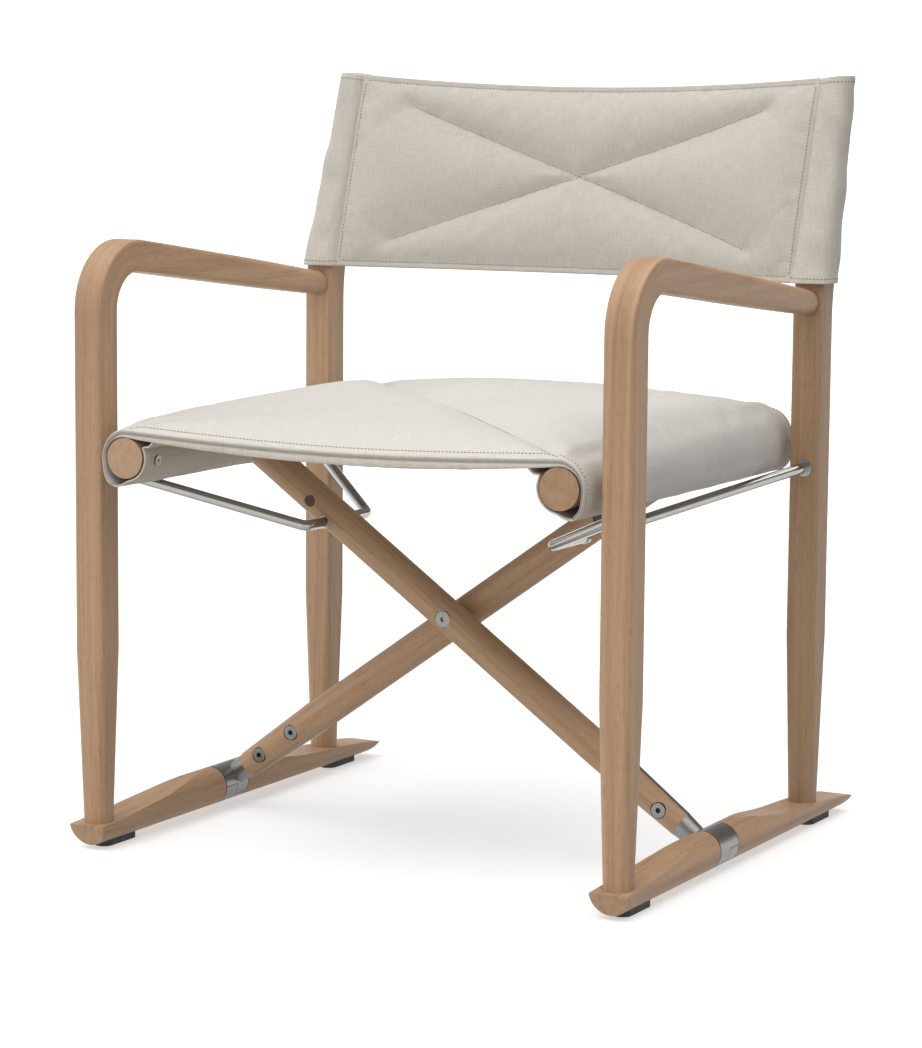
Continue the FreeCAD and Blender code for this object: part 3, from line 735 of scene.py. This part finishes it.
def back_depth(u, v, near):
    """Half thickness of the padding: thin along every seam, full between them."""
    edge = min(u, 1 - u) * 2 * SEAM_X
    hem = max(min(v, 1 - v) * BACK_HEIGHT - HEM, 0)
    puff = np.prod([1 - math.exp(-d / PUFF_REACH) for d in (near, edge, hem)])
    return BACK_FLAT + BACK_PUFF * float(puff)


def tuck_back(pad, diagonals, hems, sides, count):
    """Pulls in the cloth beside the back's seams, on both its faces, and at the diagonals' ends."""
    pulls = [(hems[0], (0, 0, 1)), (hems[1], (0, 0, -1)), (sides[0], (1, 0, 0)), (sides[1], (-1, 0, 0)),
             (diagonals[0], (-0.45, 0, 0.9)), (diagonals[0], (0.45, 0, -0.9)),
             (diagonals[1], (0.45, 0, 0.9)), (diagonals[1], (-0.45, 0, -0.9))]
    tucks(pad, pulls, seed=17, depth=0.0026)
    tucks(pad, [([count + i for i in run], way) for run, way in pulls], seed=18, depth=0.0022)
    ends = [([line[k], line[k - 1 if k else 1]], (way, 0, rise))
            for line, up in ((diagonals[0], 1), (diagonals[1], -1))
            for k, way, rise in ((0, -1, -0.45 * up), (-1, 1, 0.45 * up))]
    for number, end in enumerate(ends):
        tucks(pad, [end], seed=40 + number, depth=0.0030, length=0.05, width=0.0055, every=0.005)


def make_back():
    grid, diagonals = back_grid()
    rows, cols = grid.shape[:2]
    count = rows * cols
    top = np.empty((rows, cols, 3))
    under = np.empty((rows, cols, 3))
    held = diagonals[0] + diagonals[1]
    for r in range(rows):
        for c in range(cols):
            u, v = grid[r, c]
            near = quilt_distance(u, v)
            depth = back_depth(u, v, near)
            centre, backward = back_centre(u, v)
            top[r, c] = centre - backward * depth
            under[r, c] = centre + backward * depth
            if near < ON_QUILT or r < 3 or r > rows - 4 or c in (0, cols - 1):
                held.append(r * cols + c)
    outward = []
    rim = []
    for r, c in ring_of(rows, cols):
        on_hem = r in (0, rows - 1)
        way = -1.0 if (r if on_hem else c) == 0 else 1.0
        outward.append(np.array([0, 0, way] if on_hem else [way, 0, 0]))
        rim.append(HEM_RIM if on_hem else SIDE_RIM)
    pad = shell("back_pad", top, under, outward, rim)
    inflate(pad, {*range(2 * count, len(pad.data.vertices)), *both_sides(held, count)}, 0.005, 0.004)
    hems = [[r * cols + c for c in range(1, cols - 1)] for r in (2, rows - 3)]
    sides = [[r * cols + c for r in range(2, rows - 2)] for c in (1, cols - 2)]
    tuck_back(pad, diagonals, hems, sides, count)
    runs = diagonals + hems + sides
    runs += [[count + i for i in run] for run in runs]
    sew(pad, runs)
    subdivide(pad)
    thread = stitches("back_stitching", [seam_line(pad, run) for run in runs])
    cloth_coordinates(pad, lambda p: np.column_stack([p[:, 0], p[:, 2] / math.cos(LEAN)]))
    return pad, thread


def segment_distance(point, start, end):
    along = end - start
    share = np.clip((point - start).dot(along) / along.dot(along), 0, 1)
    return float(np.linalg.norm(point - start - along * share))


def sleeve_point(z, turn, shrink):
    """Point on the sleeve round the post at a height: a rounded square pinched at its seam."""
    flare = SLEEVE_FLARE * math.exp(-(z - BACK_BOTTOM) / 0.016)
    half = sleeve_half(z) + flare - shrink
    c = math.cos(turn)
    s = math.sin(turn)
    radius = half / (abs(c) ** SLEEVE_POWER + abs(s) ** SLEEVE_POWER) ** (1 / SLEEVE_POWER)
    inboard = radius * c
    pinch = max(0.0, (inboard / half - 0.74) / 0.26) ** 1.6
    lateral = radius * s * (1 - 0.86 * pinch) - SEAM_AHEAD * half * pinch
    return inboard, lateral


def sleeve_ring(side, z, shrink=0.0, scale=1.0, lift=0.0):
    """Points once round a sleeve at a height, drawn in by shrink or scaled about the post."""
    points = []
    for k in range(SLEEVE_AROUND):
        inboard, lateral = sleeve_point(z, 2 * math.pi * k / SLEEVE_AROUND, shrink)
        share = (inboard / sleeve_half(z) + 1) / 2
        drop = BACK_TOP_DROP * share ** 2 * height_share(z)
        points.append((side * (post_x(z) - inboard * scale), lean_y(z) + lateral * scale, z - drop + lift))
    return points


def seam_length(points):
    """Length once round a closed ring of points."""
    loop = np.array(points)
    return float(np.linalg.norm(loop - np.roll(loop, 1, axis=0), axis=1).sum())


def crease_sleeve(sleeve, side, top, first):
    """Soft creases over the outside of a sleeve, from its point number first on, except at its seam."""
    where = positions(sleeve)
    lift = normals(sleeve)
    height = where[:, 2]
    free = np.clip((height - BACK_BOTTOM) / 0.02, 0, 1) * np.clip((top - height) / 0.02, 0, 1)
    stretched = where * np.array([1, 1, 0.55]) + np.array([0, 0, 1]) * where[:, :1] * 0.5
    wave = ripple(stretched, 0.020, 0.0018, 9 + side) + ripple(where, 0.05, 0.0014, 4 + side)
    wave[:first] = 0
    inboard = side * (side * POST_X - where[:, 0]) / SLEEVE_HALF[0]
    wave *= 1 - smooth_step((inboard - 0.3) / 0.4)
    set_positions(sleeve, where + lift * (wave * (0.25 + free))[:, None])


def sleeve_weave(points, side):
    lateral = points[:, 1] - POST_Y - (points[:, 2] - LEAN_Z) * math.tan(LEAN)
    turn = np.arctan2(lateral, points[:, 0] - side * POST_X)
    return np.column_stack([turn * 0.019, points[:, 2]])


def make_sleeve(side):
    top = BACK_TOP - SLEEVE_SHORT
    height = top - BACK_BOTTOM
    rings = [sleeve_ring(side, BACK_BOTTOM + (height - SLEEVE_HOLLOW) * k / SLEEVE_INNER_ROWS, SLEEVE_THICK)
             for k in range(SLEEVE_INNER_ROWS, -1, -1)]
    rings += [sleeve_ring(side, BACK_BOTTOM, SLEEVE_THICK * share, lift=lift) for share, lift in SLEEVE_FOOT]
    outside = len(rings)
    rings += [sleeve_ring(side, BACK_BOTTOM + height * k / SLEEVE_ROWS) for k in range(SLEEVE_ROWS + 1)]
    rings += [sleeve_ring(side, top, scale=scale, lift=lift) for scale, lift in SLEEVE_TOP]
    name = "sleeve_right" if side > 0 else "sleeve_left"
    points = [point for ring in rings for point in ring]
    sleeve = make_object(name, points, tube_faces(len(rings), SLEEVE_AROUND))
    crease_sleeve(sleeve, side, top, outside * SLEEVE_AROUND)
    hem_row = round(HEM / height * SLEEVE_ROWS)
    lines = [seam_line(sleeve, [(outside + row) * SLEEVE_AROUND + k for k in range(2, SLEEVE_AROUND - 1)])
             for row in (hem_row, SLEEVE_ROWS - 1)]
    thread = stitches(name + "_stitching", lines)
    subdivide(sleeve)
    cloth_coordinates(sleeve, lambda p: sleeve_weave(p, side))
    girth = seam_length(sleeve_ring(side, (BACK_BOTTOM + top) / 2))
    return sleeve, thread, (girth, height)


# ---- materials

def new_material(name):
    material = bpy.data.materials.new(name)
    material.use_nodes = True
    tree = material.node_tree
    tree.nodes.clear()
    out = tree.nodes.new("ShaderNodeOutputMaterial")
    shader = tree.nodes.new("ShaderNodeBsdfPrincipled")
    tree.links.new(shader.outputs["BSDF"], out.inputs["Surface"])
    return material, Nodes(tree), shader


class Nodes:
    """Short calls for building a node tree."""

    def __init__(self, tree):
        self.tree = tree

    def add(self, kind, **settings):
        node = self.tree.nodes.new("ShaderNode" + kind)
        for key, value in settings.items():
            setattr(node, key, value)
        return node

    def put(self, socket, value):
        if hasattr(value, "is_output"):
            self.tree.links.new(value, socket)
        else:
            socket.default_value = value

    def fill(self, node, values):
        """Links or sets inputs of a node by their names."""
        for name, value in values.items():
            self.put(node.inputs[name], value)

    def object_place(self):
        return self.add("TexCoord").outputs["Object"]

    def math(self, operation, a, b=0.0):
        node = self.add("Math", operation=operation)
        self.put(node.inputs[0], a)
        self.put(node.inputs[1], b)
        return node.outputs[0]

    def plus(self, a, b):
        return self.math("ADD", a, b)

    def minus(self, a, b):
        return self.math("SUBTRACT", a, b)

    def times(self, a, b):
        return self.math("MULTIPLY", a, b)

    def combine(self, x, y, z):
        node = self.add("CombineXYZ")
        for socket, value in zip(node.inputs, (x, y, z)):
            self.put(socket, value)
        return node.outputs[0]

    def split(self, vector):
        node = self.add("SeparateXYZ")
        self.put(node.inputs[0], vector)
        return node.outputs

    def scaled(self, vector, factors):
        return self.moved(vector, factors, "MULTIPLY")

    def moved(self, vector, offset, operation="ADD"):
        node = self.add("VectorMath", operation=operation)
        self.put(node.inputs[0], vector)
        self.put(node.inputs[1], offset)
        return node.outputs[0]

    def noise(self, vector, scale=1.0, detail=2.0, roughness=0.5):
        node = self.add("TexNoise")
        self.fill(node, {"Vector": vector, "Scale": scale, "Detail": detail, "Roughness": roughness})
        return node.outputs["Fac"]

    def ramp(self, value, *stops):
        node = self.add("ValToRGB")
        self.put(node.inputs[0], value)
        elements = node.color_ramp.elements
        while len(elements) < len(stops):
            elements.new(0.5)
        for element, (place, colour) in zip(elements, stops):
            element.position = place
            element.color = (*colour, 1)
        return node.outputs["Color"]

    def level(self, value, low, high, to_low=0.0, to_high=1.0):
        node = self.add("MapRange")
        self.fill(node, {"Value": value, "From Min": low, "From Max": high,
                         "To Min": to_low, "To Max": to_high})
        return node.outputs["Result"]

    def mix(self, factor, a, b):
        node = self.add("Mix", data_type="RGBA")
        self.put(node.inputs["Factor"], factor)
        self.put(node.inputs[6], a if hasattr(a, "is_output") else (*a, 1))
        self.put(node.inputs[7], b if hasattr(b, "is_output") else (*b, 1))
        return node.outputs[2]

    def bump(self, height, distance, strength=1.0):
        node = self.add("Bump")
        self.fill(node, {"Height": height, "Distance": distance, "Strength": strength})
        return node.outputs["Normal"]

    def distance(self, a, b):
        """Length of the vector with two components."""
        squares = self.plus(self.math("POWER", a, 2.0), self.math("POWER", b, 2.0))
        return self.math("POWER", squares, 0.5)


def grain_vector(n, kind, angle=0.0, centre=(0, 0)):
    """The point with its third value along the wood's grain."""
    place = n.object_place()
    x, y, z = n.split(place)
    if kind == "y":
        return n.combine(x, z, y)
    if kind == "z":
        return n.combine(x, y, z)
    if kind == "bar":
        along = n.plus(n.times(x, math.cos(angle)), n.times(z, math.sin(angle)))
        across = n.minus(n.times(z, math.cos(angle)),
                        n.times(x, math.sin(angle)))
        return n.combine(across, y, along)
    away_y = n.minus(y, centre[0])
    away_z = n.minus(z, centre[1])
    before = n.math("MAXIMUM", n.times(away_y, -1.0), 0.0)
    above = n.math("MAXIMUM", away_z, 0.0)
    radius = n.distance(before, above)
    turn = n.times(n.math("ARCTAN2", above, n.math("MAXIMUM", before, 1e-5)), ARM_BEND_R)
    along = n.plus(n.plus(n.math("MINIMUM", away_z, 0.0), n.math("MAXIMUM", away_y, 0.0)), turn)
    return n.combine(x, radius, along)


def wood(name, kind, seed, angle=0.0, centre=(0, 0)):
    """Oiled light teak: growth bands, fine fibres and short dark pores along the grain."""
    material, n, shader = new_material(name)
    place = n.moved(grain_vector(n, kind, angle, centre), (seed * 0.37, seed * 0.71, seed * 1.3))
    warp = n.noise(n.scaled(place, (9, 9, 2.2)), 1, 2)
    warped = n.moved(place, n.combine(n.level(warp, 0, 1, -0.012, 0.012), 0.0, 0.0))
    bands = n.noise(n.scaled(warped, (150, 90, 2.0)), 1, 3, 0.6)
    drift = n.noise(n.scaled(place, (14, 14, 3)), 1, 2)
    fibres = n.noise(n.scaled(warped, (900, 900, 16)), 1, 2, 0.6)
    pores = n.noise(n.scaled(warped, (1500, 1500, 75)), 1, 1, 0.5)
    flecks = n.noise(n.scaled(warped, (420, 420, 60)), 1, 2, 0.5)
    colour = n.ramp(bands, (0.30, (0.345, 0.198, 0.106)), (0.46, (0.440, 0.265, 0.148)),
                    (0.62, (0.505, 0.317, 0.182)), (0.78, (0.415, 0.246, 0.135)))
    colour = n.mix(n.level(drift, 0.35, 0.7, 0.0, 0.35), colour, (0.385, 0.228, 0.130))
    colour = n.mix(n.level(fibres, 0.35, 0.75, 0.0, 0.40), colour, (0.570, 0.378, 0.230))
    pore = n.level(pores, 0.60, 0.70)
    colour = n.mix(n.times(pore, 0.45), colour, (0.190, 0.105, 0.056))
    fleck = n.level(flecks, 0.64, 0.74)
    colour = n.mix(n.times(fleck, 0.25), colour, (0.260, 0.150, 0.084))
    # Painted light falloff: this board is darkened or lightened by its listed amount.
    shade = PAINTED_LIGHT_FALLOFF.get(name, 0.0)
    colour = n.mix(abs(shade), colour, (0.06, 0.033, 0.018) if shade > 0 else (0.80, 0.62, 0.45))
    height = n.minus(n.times(fibres, 0.35), n.times(pore, 0.8))
    n.fill(shader, {"Base Color": colour, "Roughness": n.level(fibres, 0.3, 0.8, 0.42, 0.60),
                    "Specular IOR Level": 0.38, "Normal": n.bump(height, 0.00022, 0.55)})
    return material


def canvas(name, tint, dark):
    """Heavy linen canvas: plain weave with uneven, slubbed yarns in two directions."""
    material, n, shader = new_material(name)
    place = n.add("Attribute", attribute_name="cloth").outputs["Vector"]
    wobble = n.noise(n.scaled(place, (160, 160, 1)), 1, 2)
    sideways = n.level(wobble, 0, 1, -0.0006, 0.0006)
    lengthways = n.level(wobble, 0, 1, 0.0005, -0.0005)
    x, y, _ = n.split(n.moved(place, n.combine(sideways, lengthways, 0.0)))
    warp_wave = n.math("SINE", n.times(x, math.pi / WEAVE_PITCH))
    weft_wave = n.math("SINE", n.times(y, math.pi / WEAVE_PITCH))
    over = n.level(n.times(warp_wave, weft_wave), -0.35, 0.35)
    warp = n.times(n.math("ABSOLUTE", warp_wave), over)
    weft = n.times(n.math("ABSOLUTE", weft_wave), n.minus(1.0, over))
    weave = n.plus(warp, weft)
    long_slubs = n.noise(n.scaled(place, (1500, 60, 1)), 1, 2, 0.6)
    cross_slubs = n.noise(n.scaled(n.moved(place, (3.1, 1.7, 0.0)), (60, 1500, 1)), 1, 2, 0.6)
    slubs = n.plus(n.times(long_slubs, 0.5), n.times(cross_slubs, 0.5))
    cloudy = n.noise(n.object_place(), 9, 3)
    specks = n.noise(n.scaled(place, (700, 700, 1)), 1, 1)
    colour = n.mix(n.level(slubs, 0.36, 0.64), dark, tint)
    # Painted shade between the yarns: where the weave is low the cloth is darkened towards the dark yarn
    # colour.
    colour = n.mix(n.level(weave, 0.25, 0.95, 0.20, 0.0), colour, tuple(c * 0.62 for c in dark))
    colour = n.mix(n.level(cloudy, 0.35, 0.7, 0.0, 0.10), colour, tuple(c * 0.86 for c in tint))
    colour = n.mix(n.level(specks, 0.70, 0.78, 0.0, 0.35), colour, tuple(c * 0.60 for c in dark))
    height = n.plus(n.times(weave, 0.6), n.times(slubs, 0.9))
    n.fill(shader, {"Base Color": colour, "Roughness": n.level(weave, 0, 1, 0.95, 0.82),
                    "Specular IOR Level": 0.18, "Sheen Weight": 0.15, "Sheen Roughness": 0.55,
                    "Normal": n.bump(height, 0.00042, 0.8)})
    return material


def thread_material():
    material, n, shader = new_material("thread")
    place = n.object_place()
    twist = n.noise(place, 900, 1)
    # The thread is coloured darker than the canvas. This is partly its own colour and partly painted shade of
    # the needle holes, so that the stitch lines read as dark dots.
    colour = n.mix(n.level(twist, 0.3, 0.7), (0.24, 0.205, 0.155), (0.42, 0.375, 0.305))
    n.fill(shader, {"Base Color": colour, "Roughness": n.level(twist, 0.3, 0.7, 0.55, 0.8),
                    "Specular IOR Level": 0.3})
    return material


def beside(n, value, centre, half):
    """1 where a value lies within half of the centre, and 0 elsewhere."""
    return n.math("LESS_THAN", n.math("ABSOLUTE", n.minus(value, centre)), half)


def collar_gaps(n, place, side):
    """Dark joints of a collar: both its edges, and the stepped split between its two halves."""
    low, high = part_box("collar_cap_" + side)
    x, y, z = n.split(place)
    off = n.minus(y, (low.y + high.y) / 2)
    radius = n.distance(n.minus(n.math("ABSOLUTE", x), POST_X), n.minus(z, RUNNER_Z))
    edge = n.math("GREATER_THAN", n.math("ABSOLUTE", off), (high.y - low.y) / 2 - COLLAR_EDGE)
    edge = n.times(edge, n.math("LESS_THAN", radius, COLLAR_R))
    inner = n.math("GREATER_THAN", n.times(off, 1.0 if side == "right" else -1.0), 0.0)
    outer = n.minus(1.0, inner)
    upper = n.times(beside(n, z, RUNNER_Z, SPLIT_HALF), inner)
    lower = n.times(beside(n, z, RUNNER_Z - SPLIT_DROP, SPLIT_HALF), outer)
    height = beside(n, z, RUNNER_Z - SPLIT_DROP / 2, SPLIT_DROP / 2)
    step = n.times(beside(n, off, 0.0, SPLIT_HALF), height)
    return n.math("MAXIMUM", n.math("MAXIMUM", edge, upper), n.math("MAXIMUM", lower, step))


def head_ring_and_socket_shade(n, place):
    """Dark ring round the head of each tongue screw, and painted shade on a disc over its socket, wider than
    the socket itself.
    """
    x, _, z = n.split(place)
    near = []
    for along in SCREWS_ALONG:
        across = n.minus(n.math("ABSOLUTE", x), along * math.cos(LEG_RISE))
        near.append(n.distance(across, n.minus(z, PIVOT_Z - along * math.sin(LEG_RISE))))
    nearest = n.math("MINIMUM", *near)
    rim = n.math("GREATER_THAN", nearest, HEAD_RIM_R)
    # Painted shade: the disc inside SOCKET_R stands in for the shade in the screw's socket.
    return n.math("MAXIMUM", rim, n.math("LESS_THAN", nearest, SOCKET_R))


def satin_metal(name, tint, roughness, scale, streak=0.06, joints_and_shade=None):
    """Blasted or brushed metal: fine grain in one direction, soft cloudy wear, any dark joints, and painted
    shade in screw sockets.
    """
    material, n, shader = new_material(name)
    place = n.object_place()
    fine = n.noise(n.scaled(place, scale), 1, 2, 0.6)
    cloudy = n.noise(place, 55, 3)
    dark = tuple(c * 0.80 for c in tint)
    colour = n.mix(n.level(fine, 0.3, 0.7), dark, tint)
    colour = n.mix(n.level(cloudy, 0.35, 0.7, 0.0, 0.35), colour, tuple(min(1, c * 1.12) for c in tint))
    shader.inputs["Metallic"].default_value = 1.0
    # Dark joints, and painted shade in screw sockets, become almost black and not metallic.
    if joints_and_shade:
        gap = joints_and_shade(n, place)
        colour = n.mix(gap, colour, (0.010, 0.009, 0.008))
        n.put(shader.inputs["Metallic"], n.minus(1.0, gap))
    n.fill(shader, {"Base Color": colour, "Normal": n.bump(fine, 0.00005, 0.35),
                    "Roughness": n.level(fine, 0.2, 0.8, roughness - streak, roughness + streak)})
    return material


def rubber():
    material, n, shader = new_material("rubber")
    place = n.object_place()
    grain = n.noise(place, 1400, 2)
    dust = n.noise(place, 60, 3)
    colour = n.mix(n.level(dust, 0.4, 0.75), (0.035, 0.036, 0.038), (0.075, 0.076, 0.078))
    n.fill(shader, {"Base Color": colour, "Roughness": n.level(grain, 0.3, 0.7, 0.6, 0.8),
                    "Normal": n.bump(grain, 0.0001, 0.4)})
    return material


def dress(node, material):
    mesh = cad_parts[node].data
    mesh.materials.clear()
    mesh.materials.append(material)


def dress_wood():
    low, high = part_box("front_leg_armrest_right")
    bend = (low.y + MEMBER_HALF + ARM_BEND_R, high.z - MEMBER_HALF - ARM_BEND_R)
    for number, side in enumerate(("right", "left")):
        dress("runner_" + side, wood("wood_runner_" + side, "y", 1 + number))
        dress("front_leg_armrest_" + side, wood("wood_arm_" + side, "bend", 4 + number, centre=bend))
        dress("rear_post_" + side, wood("wood_post_" + side, "z", 7 + number))
        dress("seat_rail_" + side, wood("wood_rail_" + side, "y", 10 + number))
        dress("armrest_dowel_" + side, wood("wood_dowel_" + side, "y", 13 + number))
    dress("cross_leg_front", wood("wood_cross_front", "bar", 16, -LEG_RISE))
    dress("cross_leg_rear", wood("wood_cross_rear", "bar", 18, LEG_RISE))


def dress_hardware():
    """Gives every metal and rubber node the finish whose start its name has."""
    collar_tint = (0.30, 0.295, 0.28)
    screw_tint = (0.27, 0.265, 0.255)
    finishes = {
        "tongue_bolts": satin_metal("screw_head_metal", screw_tint, 0.30, (500, 500, 500), joints_and_shade=head_ring_and_socket_shade),
        "stay_": satin_metal("stay_steel", (0.42, 0.41, 0.39), 0.17, (900, 90, 900), 0.04),
        "rail_plug": satin_metal("plug_metal", (0.10, 0.08, 0.065), 0.55, (400, 400, 400)),
        "foot_pads": rubber(),
    }
    screws = satin_metal("screw_metal", screw_tint, 0.30, (500, 500, 500))
    for start in ("collar_screws", "pivot_", "foot_pad_screws", "rail_bolt", "seat_screws"):
        finishes[start] = screws
    for side in ("right", "left"):
        collar = satin_metal("collar_metal_" + side, collar_tint, 0.36, (160, 900, 900),
                             joints_and_shade=lambda n, place: collar_gaps(n, place, side))
        finishes["collar_yoke_" + side] = collar
        finishes["collar_cap_" + side] = collar
    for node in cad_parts:
        for start, material in finishes.items():
            if node.startswith(start):
                dress(node, material)


# ---- stage

def emitting(name, grey, strength):
    """Plain pale surface of the studio that also glows."""
    material, n, shader = new_material(name)
    n.fill(shader, {"Base Color": (grey, grey, grey, 1), "Roughness": 0.8, "Specular IOR Level": 0.1,
                    "Emission Color": (1, 1, 1, 1), "Emission Strength": strength})
    return material


def panel(name, corners, faces, material):
    mesh = bpy.data.meshes.new(name)
    mesh.from_pydata(corners, [], faces)
    mesh.materials.append(material)
    obj = add_object(name, mesh)
    return obj


def make_stage():
    scene = bpy.context.scene
    reach = STAGE_REACH
    corners = [(-reach, -reach, 0), (reach, -reach, 0), (reach, reach, 0), (-reach, reach, 0)]
    floor = panel("floor", corners, [(0, 1, 2, 3)], emitting("floor", 0.70, FLOOR_GLOW))
    floor.visible_diffuse = False
    count = BACKDROP_SIDES
    turns = [2 * math.pi * k / count for k in range(count)]
    ring = [(reach * math.cos(t), reach * math.sin(t), z) for z in (-0.1, BACKDROP_HEIGHT) for t in turns]
    walls = [(k, (k + 1) % count, count + (k + 1) % count, count + k) for k in range(count)]
    panel("backdrop", ring, walls, emitting("backdrop", 0.5, 1.0))
    light_world()
    scene.view_settings.view_transform = "Standard"


def light_world():
    """Soft light from all round, brighter from one side, and two wide suns."""
    scene = bpy.context.scene
    world = bpy.data.worlds.new("studio")
    world.use_nodes = True
    background = world.node_tree.nodes["Background"]
    background.inputs["Color"].default_value = (1.0, 1.0, 1.0, 1)
    n = Nodes(world.node_tree)
    towards = n.add("VectorMath", operation="DOT_PRODUCT")
    n.put(towards.inputs[0], n.add("TexCoord").outputs["Generated"])
    towards.inputs[1].default_value = WORLD_LEAN
    n.put(background.inputs["Strength"], n.plus(towards.outputs["Value"], WORLD_LIGHT))
    scene.world = world
    for name, direction, strength, angle in STUDIO_SUNS:
        light = bpy.data.lights.new(name, "SUN")
        light.energy = strength
        light.angle = math.radians(angle)
        lamp = add_object(name, light)
        lamp.rotation_mode = "QUATERNION"
        lamp.rotation_quaternion = Vector(direction).to_track_quat("Z", "Y")


def make_camera():
    data = bpy.data.cameras.new("camera")
    data.sensor_fit = "VERTICAL"
    data.sensor_height = CAMERA_SENSOR
    data.lens = CAMERA_LENS
    camera = add_object("camera", data)
    camera.location = CAMERA_AT
    aim = Vector(CAMERA_TARGET) - Vector(CAMERA_AT)
    camera.rotation_euler = aim.to_track_quat("-Z", "Y").to_euler("XYZ")
    camera.rotation_euler.rotate_axis("Z", CAMERA_ROLL)
    bpy.context.scene.camera = camera


# ---- assembly

make_camera()
make_stage()
dress_wood()
dress_hardware()

seat_cloth = canvas("canvas_seat", (0.76, 0.735, 0.695), (0.60, 0.575, 0.53))
back_cloth = canvas("canvas_back", (0.675, 0.635, 0.572), (0.520, 0.478, 0.417))
sleeve_cloth = canvas("canvas_sleeve", (0.675, 0.635, 0.568), (0.515, 0.470, 0.407))
under_cloth = canvas("canvas_under", (0.74, 0.68, 0.585), (0.57, 0.515, 0.43))
thread = thread_material()

seat, seat_thread = make_seat()
seat.data.materials.append(seat_cloth)
seat.data.materials.append(under_cloth)
paint_band(seat)
seat_thread.data.materials.append(thread)
for piece in (seat, seat_thread):
    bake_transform(piece)
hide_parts("seat_panel")

for side, body in ((1, "cross_rear"), (-1, "cross_front")):
    word = "right" if side > 0 else "left"
    flap, flat = make_flap(side)
    flap.data.materials.append(under_cloth)
    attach(flap, body)
    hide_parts("seat_wrap_" + word)

pad, pad_thread = make_back()
pad.data.materials.append(back_cloth)
pad_thread.data.materials.append(thread)
for piece in (pad, pad_thread):
    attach(piece, "frame_right")
    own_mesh(piece)
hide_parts("back_panel")

for side, word in ((1, "right"), (-1, "left")):
    sleeve, sleeve_thread, flat = make_sleeve(side)
    sleeve.data.materials.append(sleeve_cloth)
    sleeve_thread.data.materials.append(thread)
    for piece in (sleeve, sleeve_thread):
        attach(piece, "frame_" + word)
    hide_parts("back_sleeve_" + word)
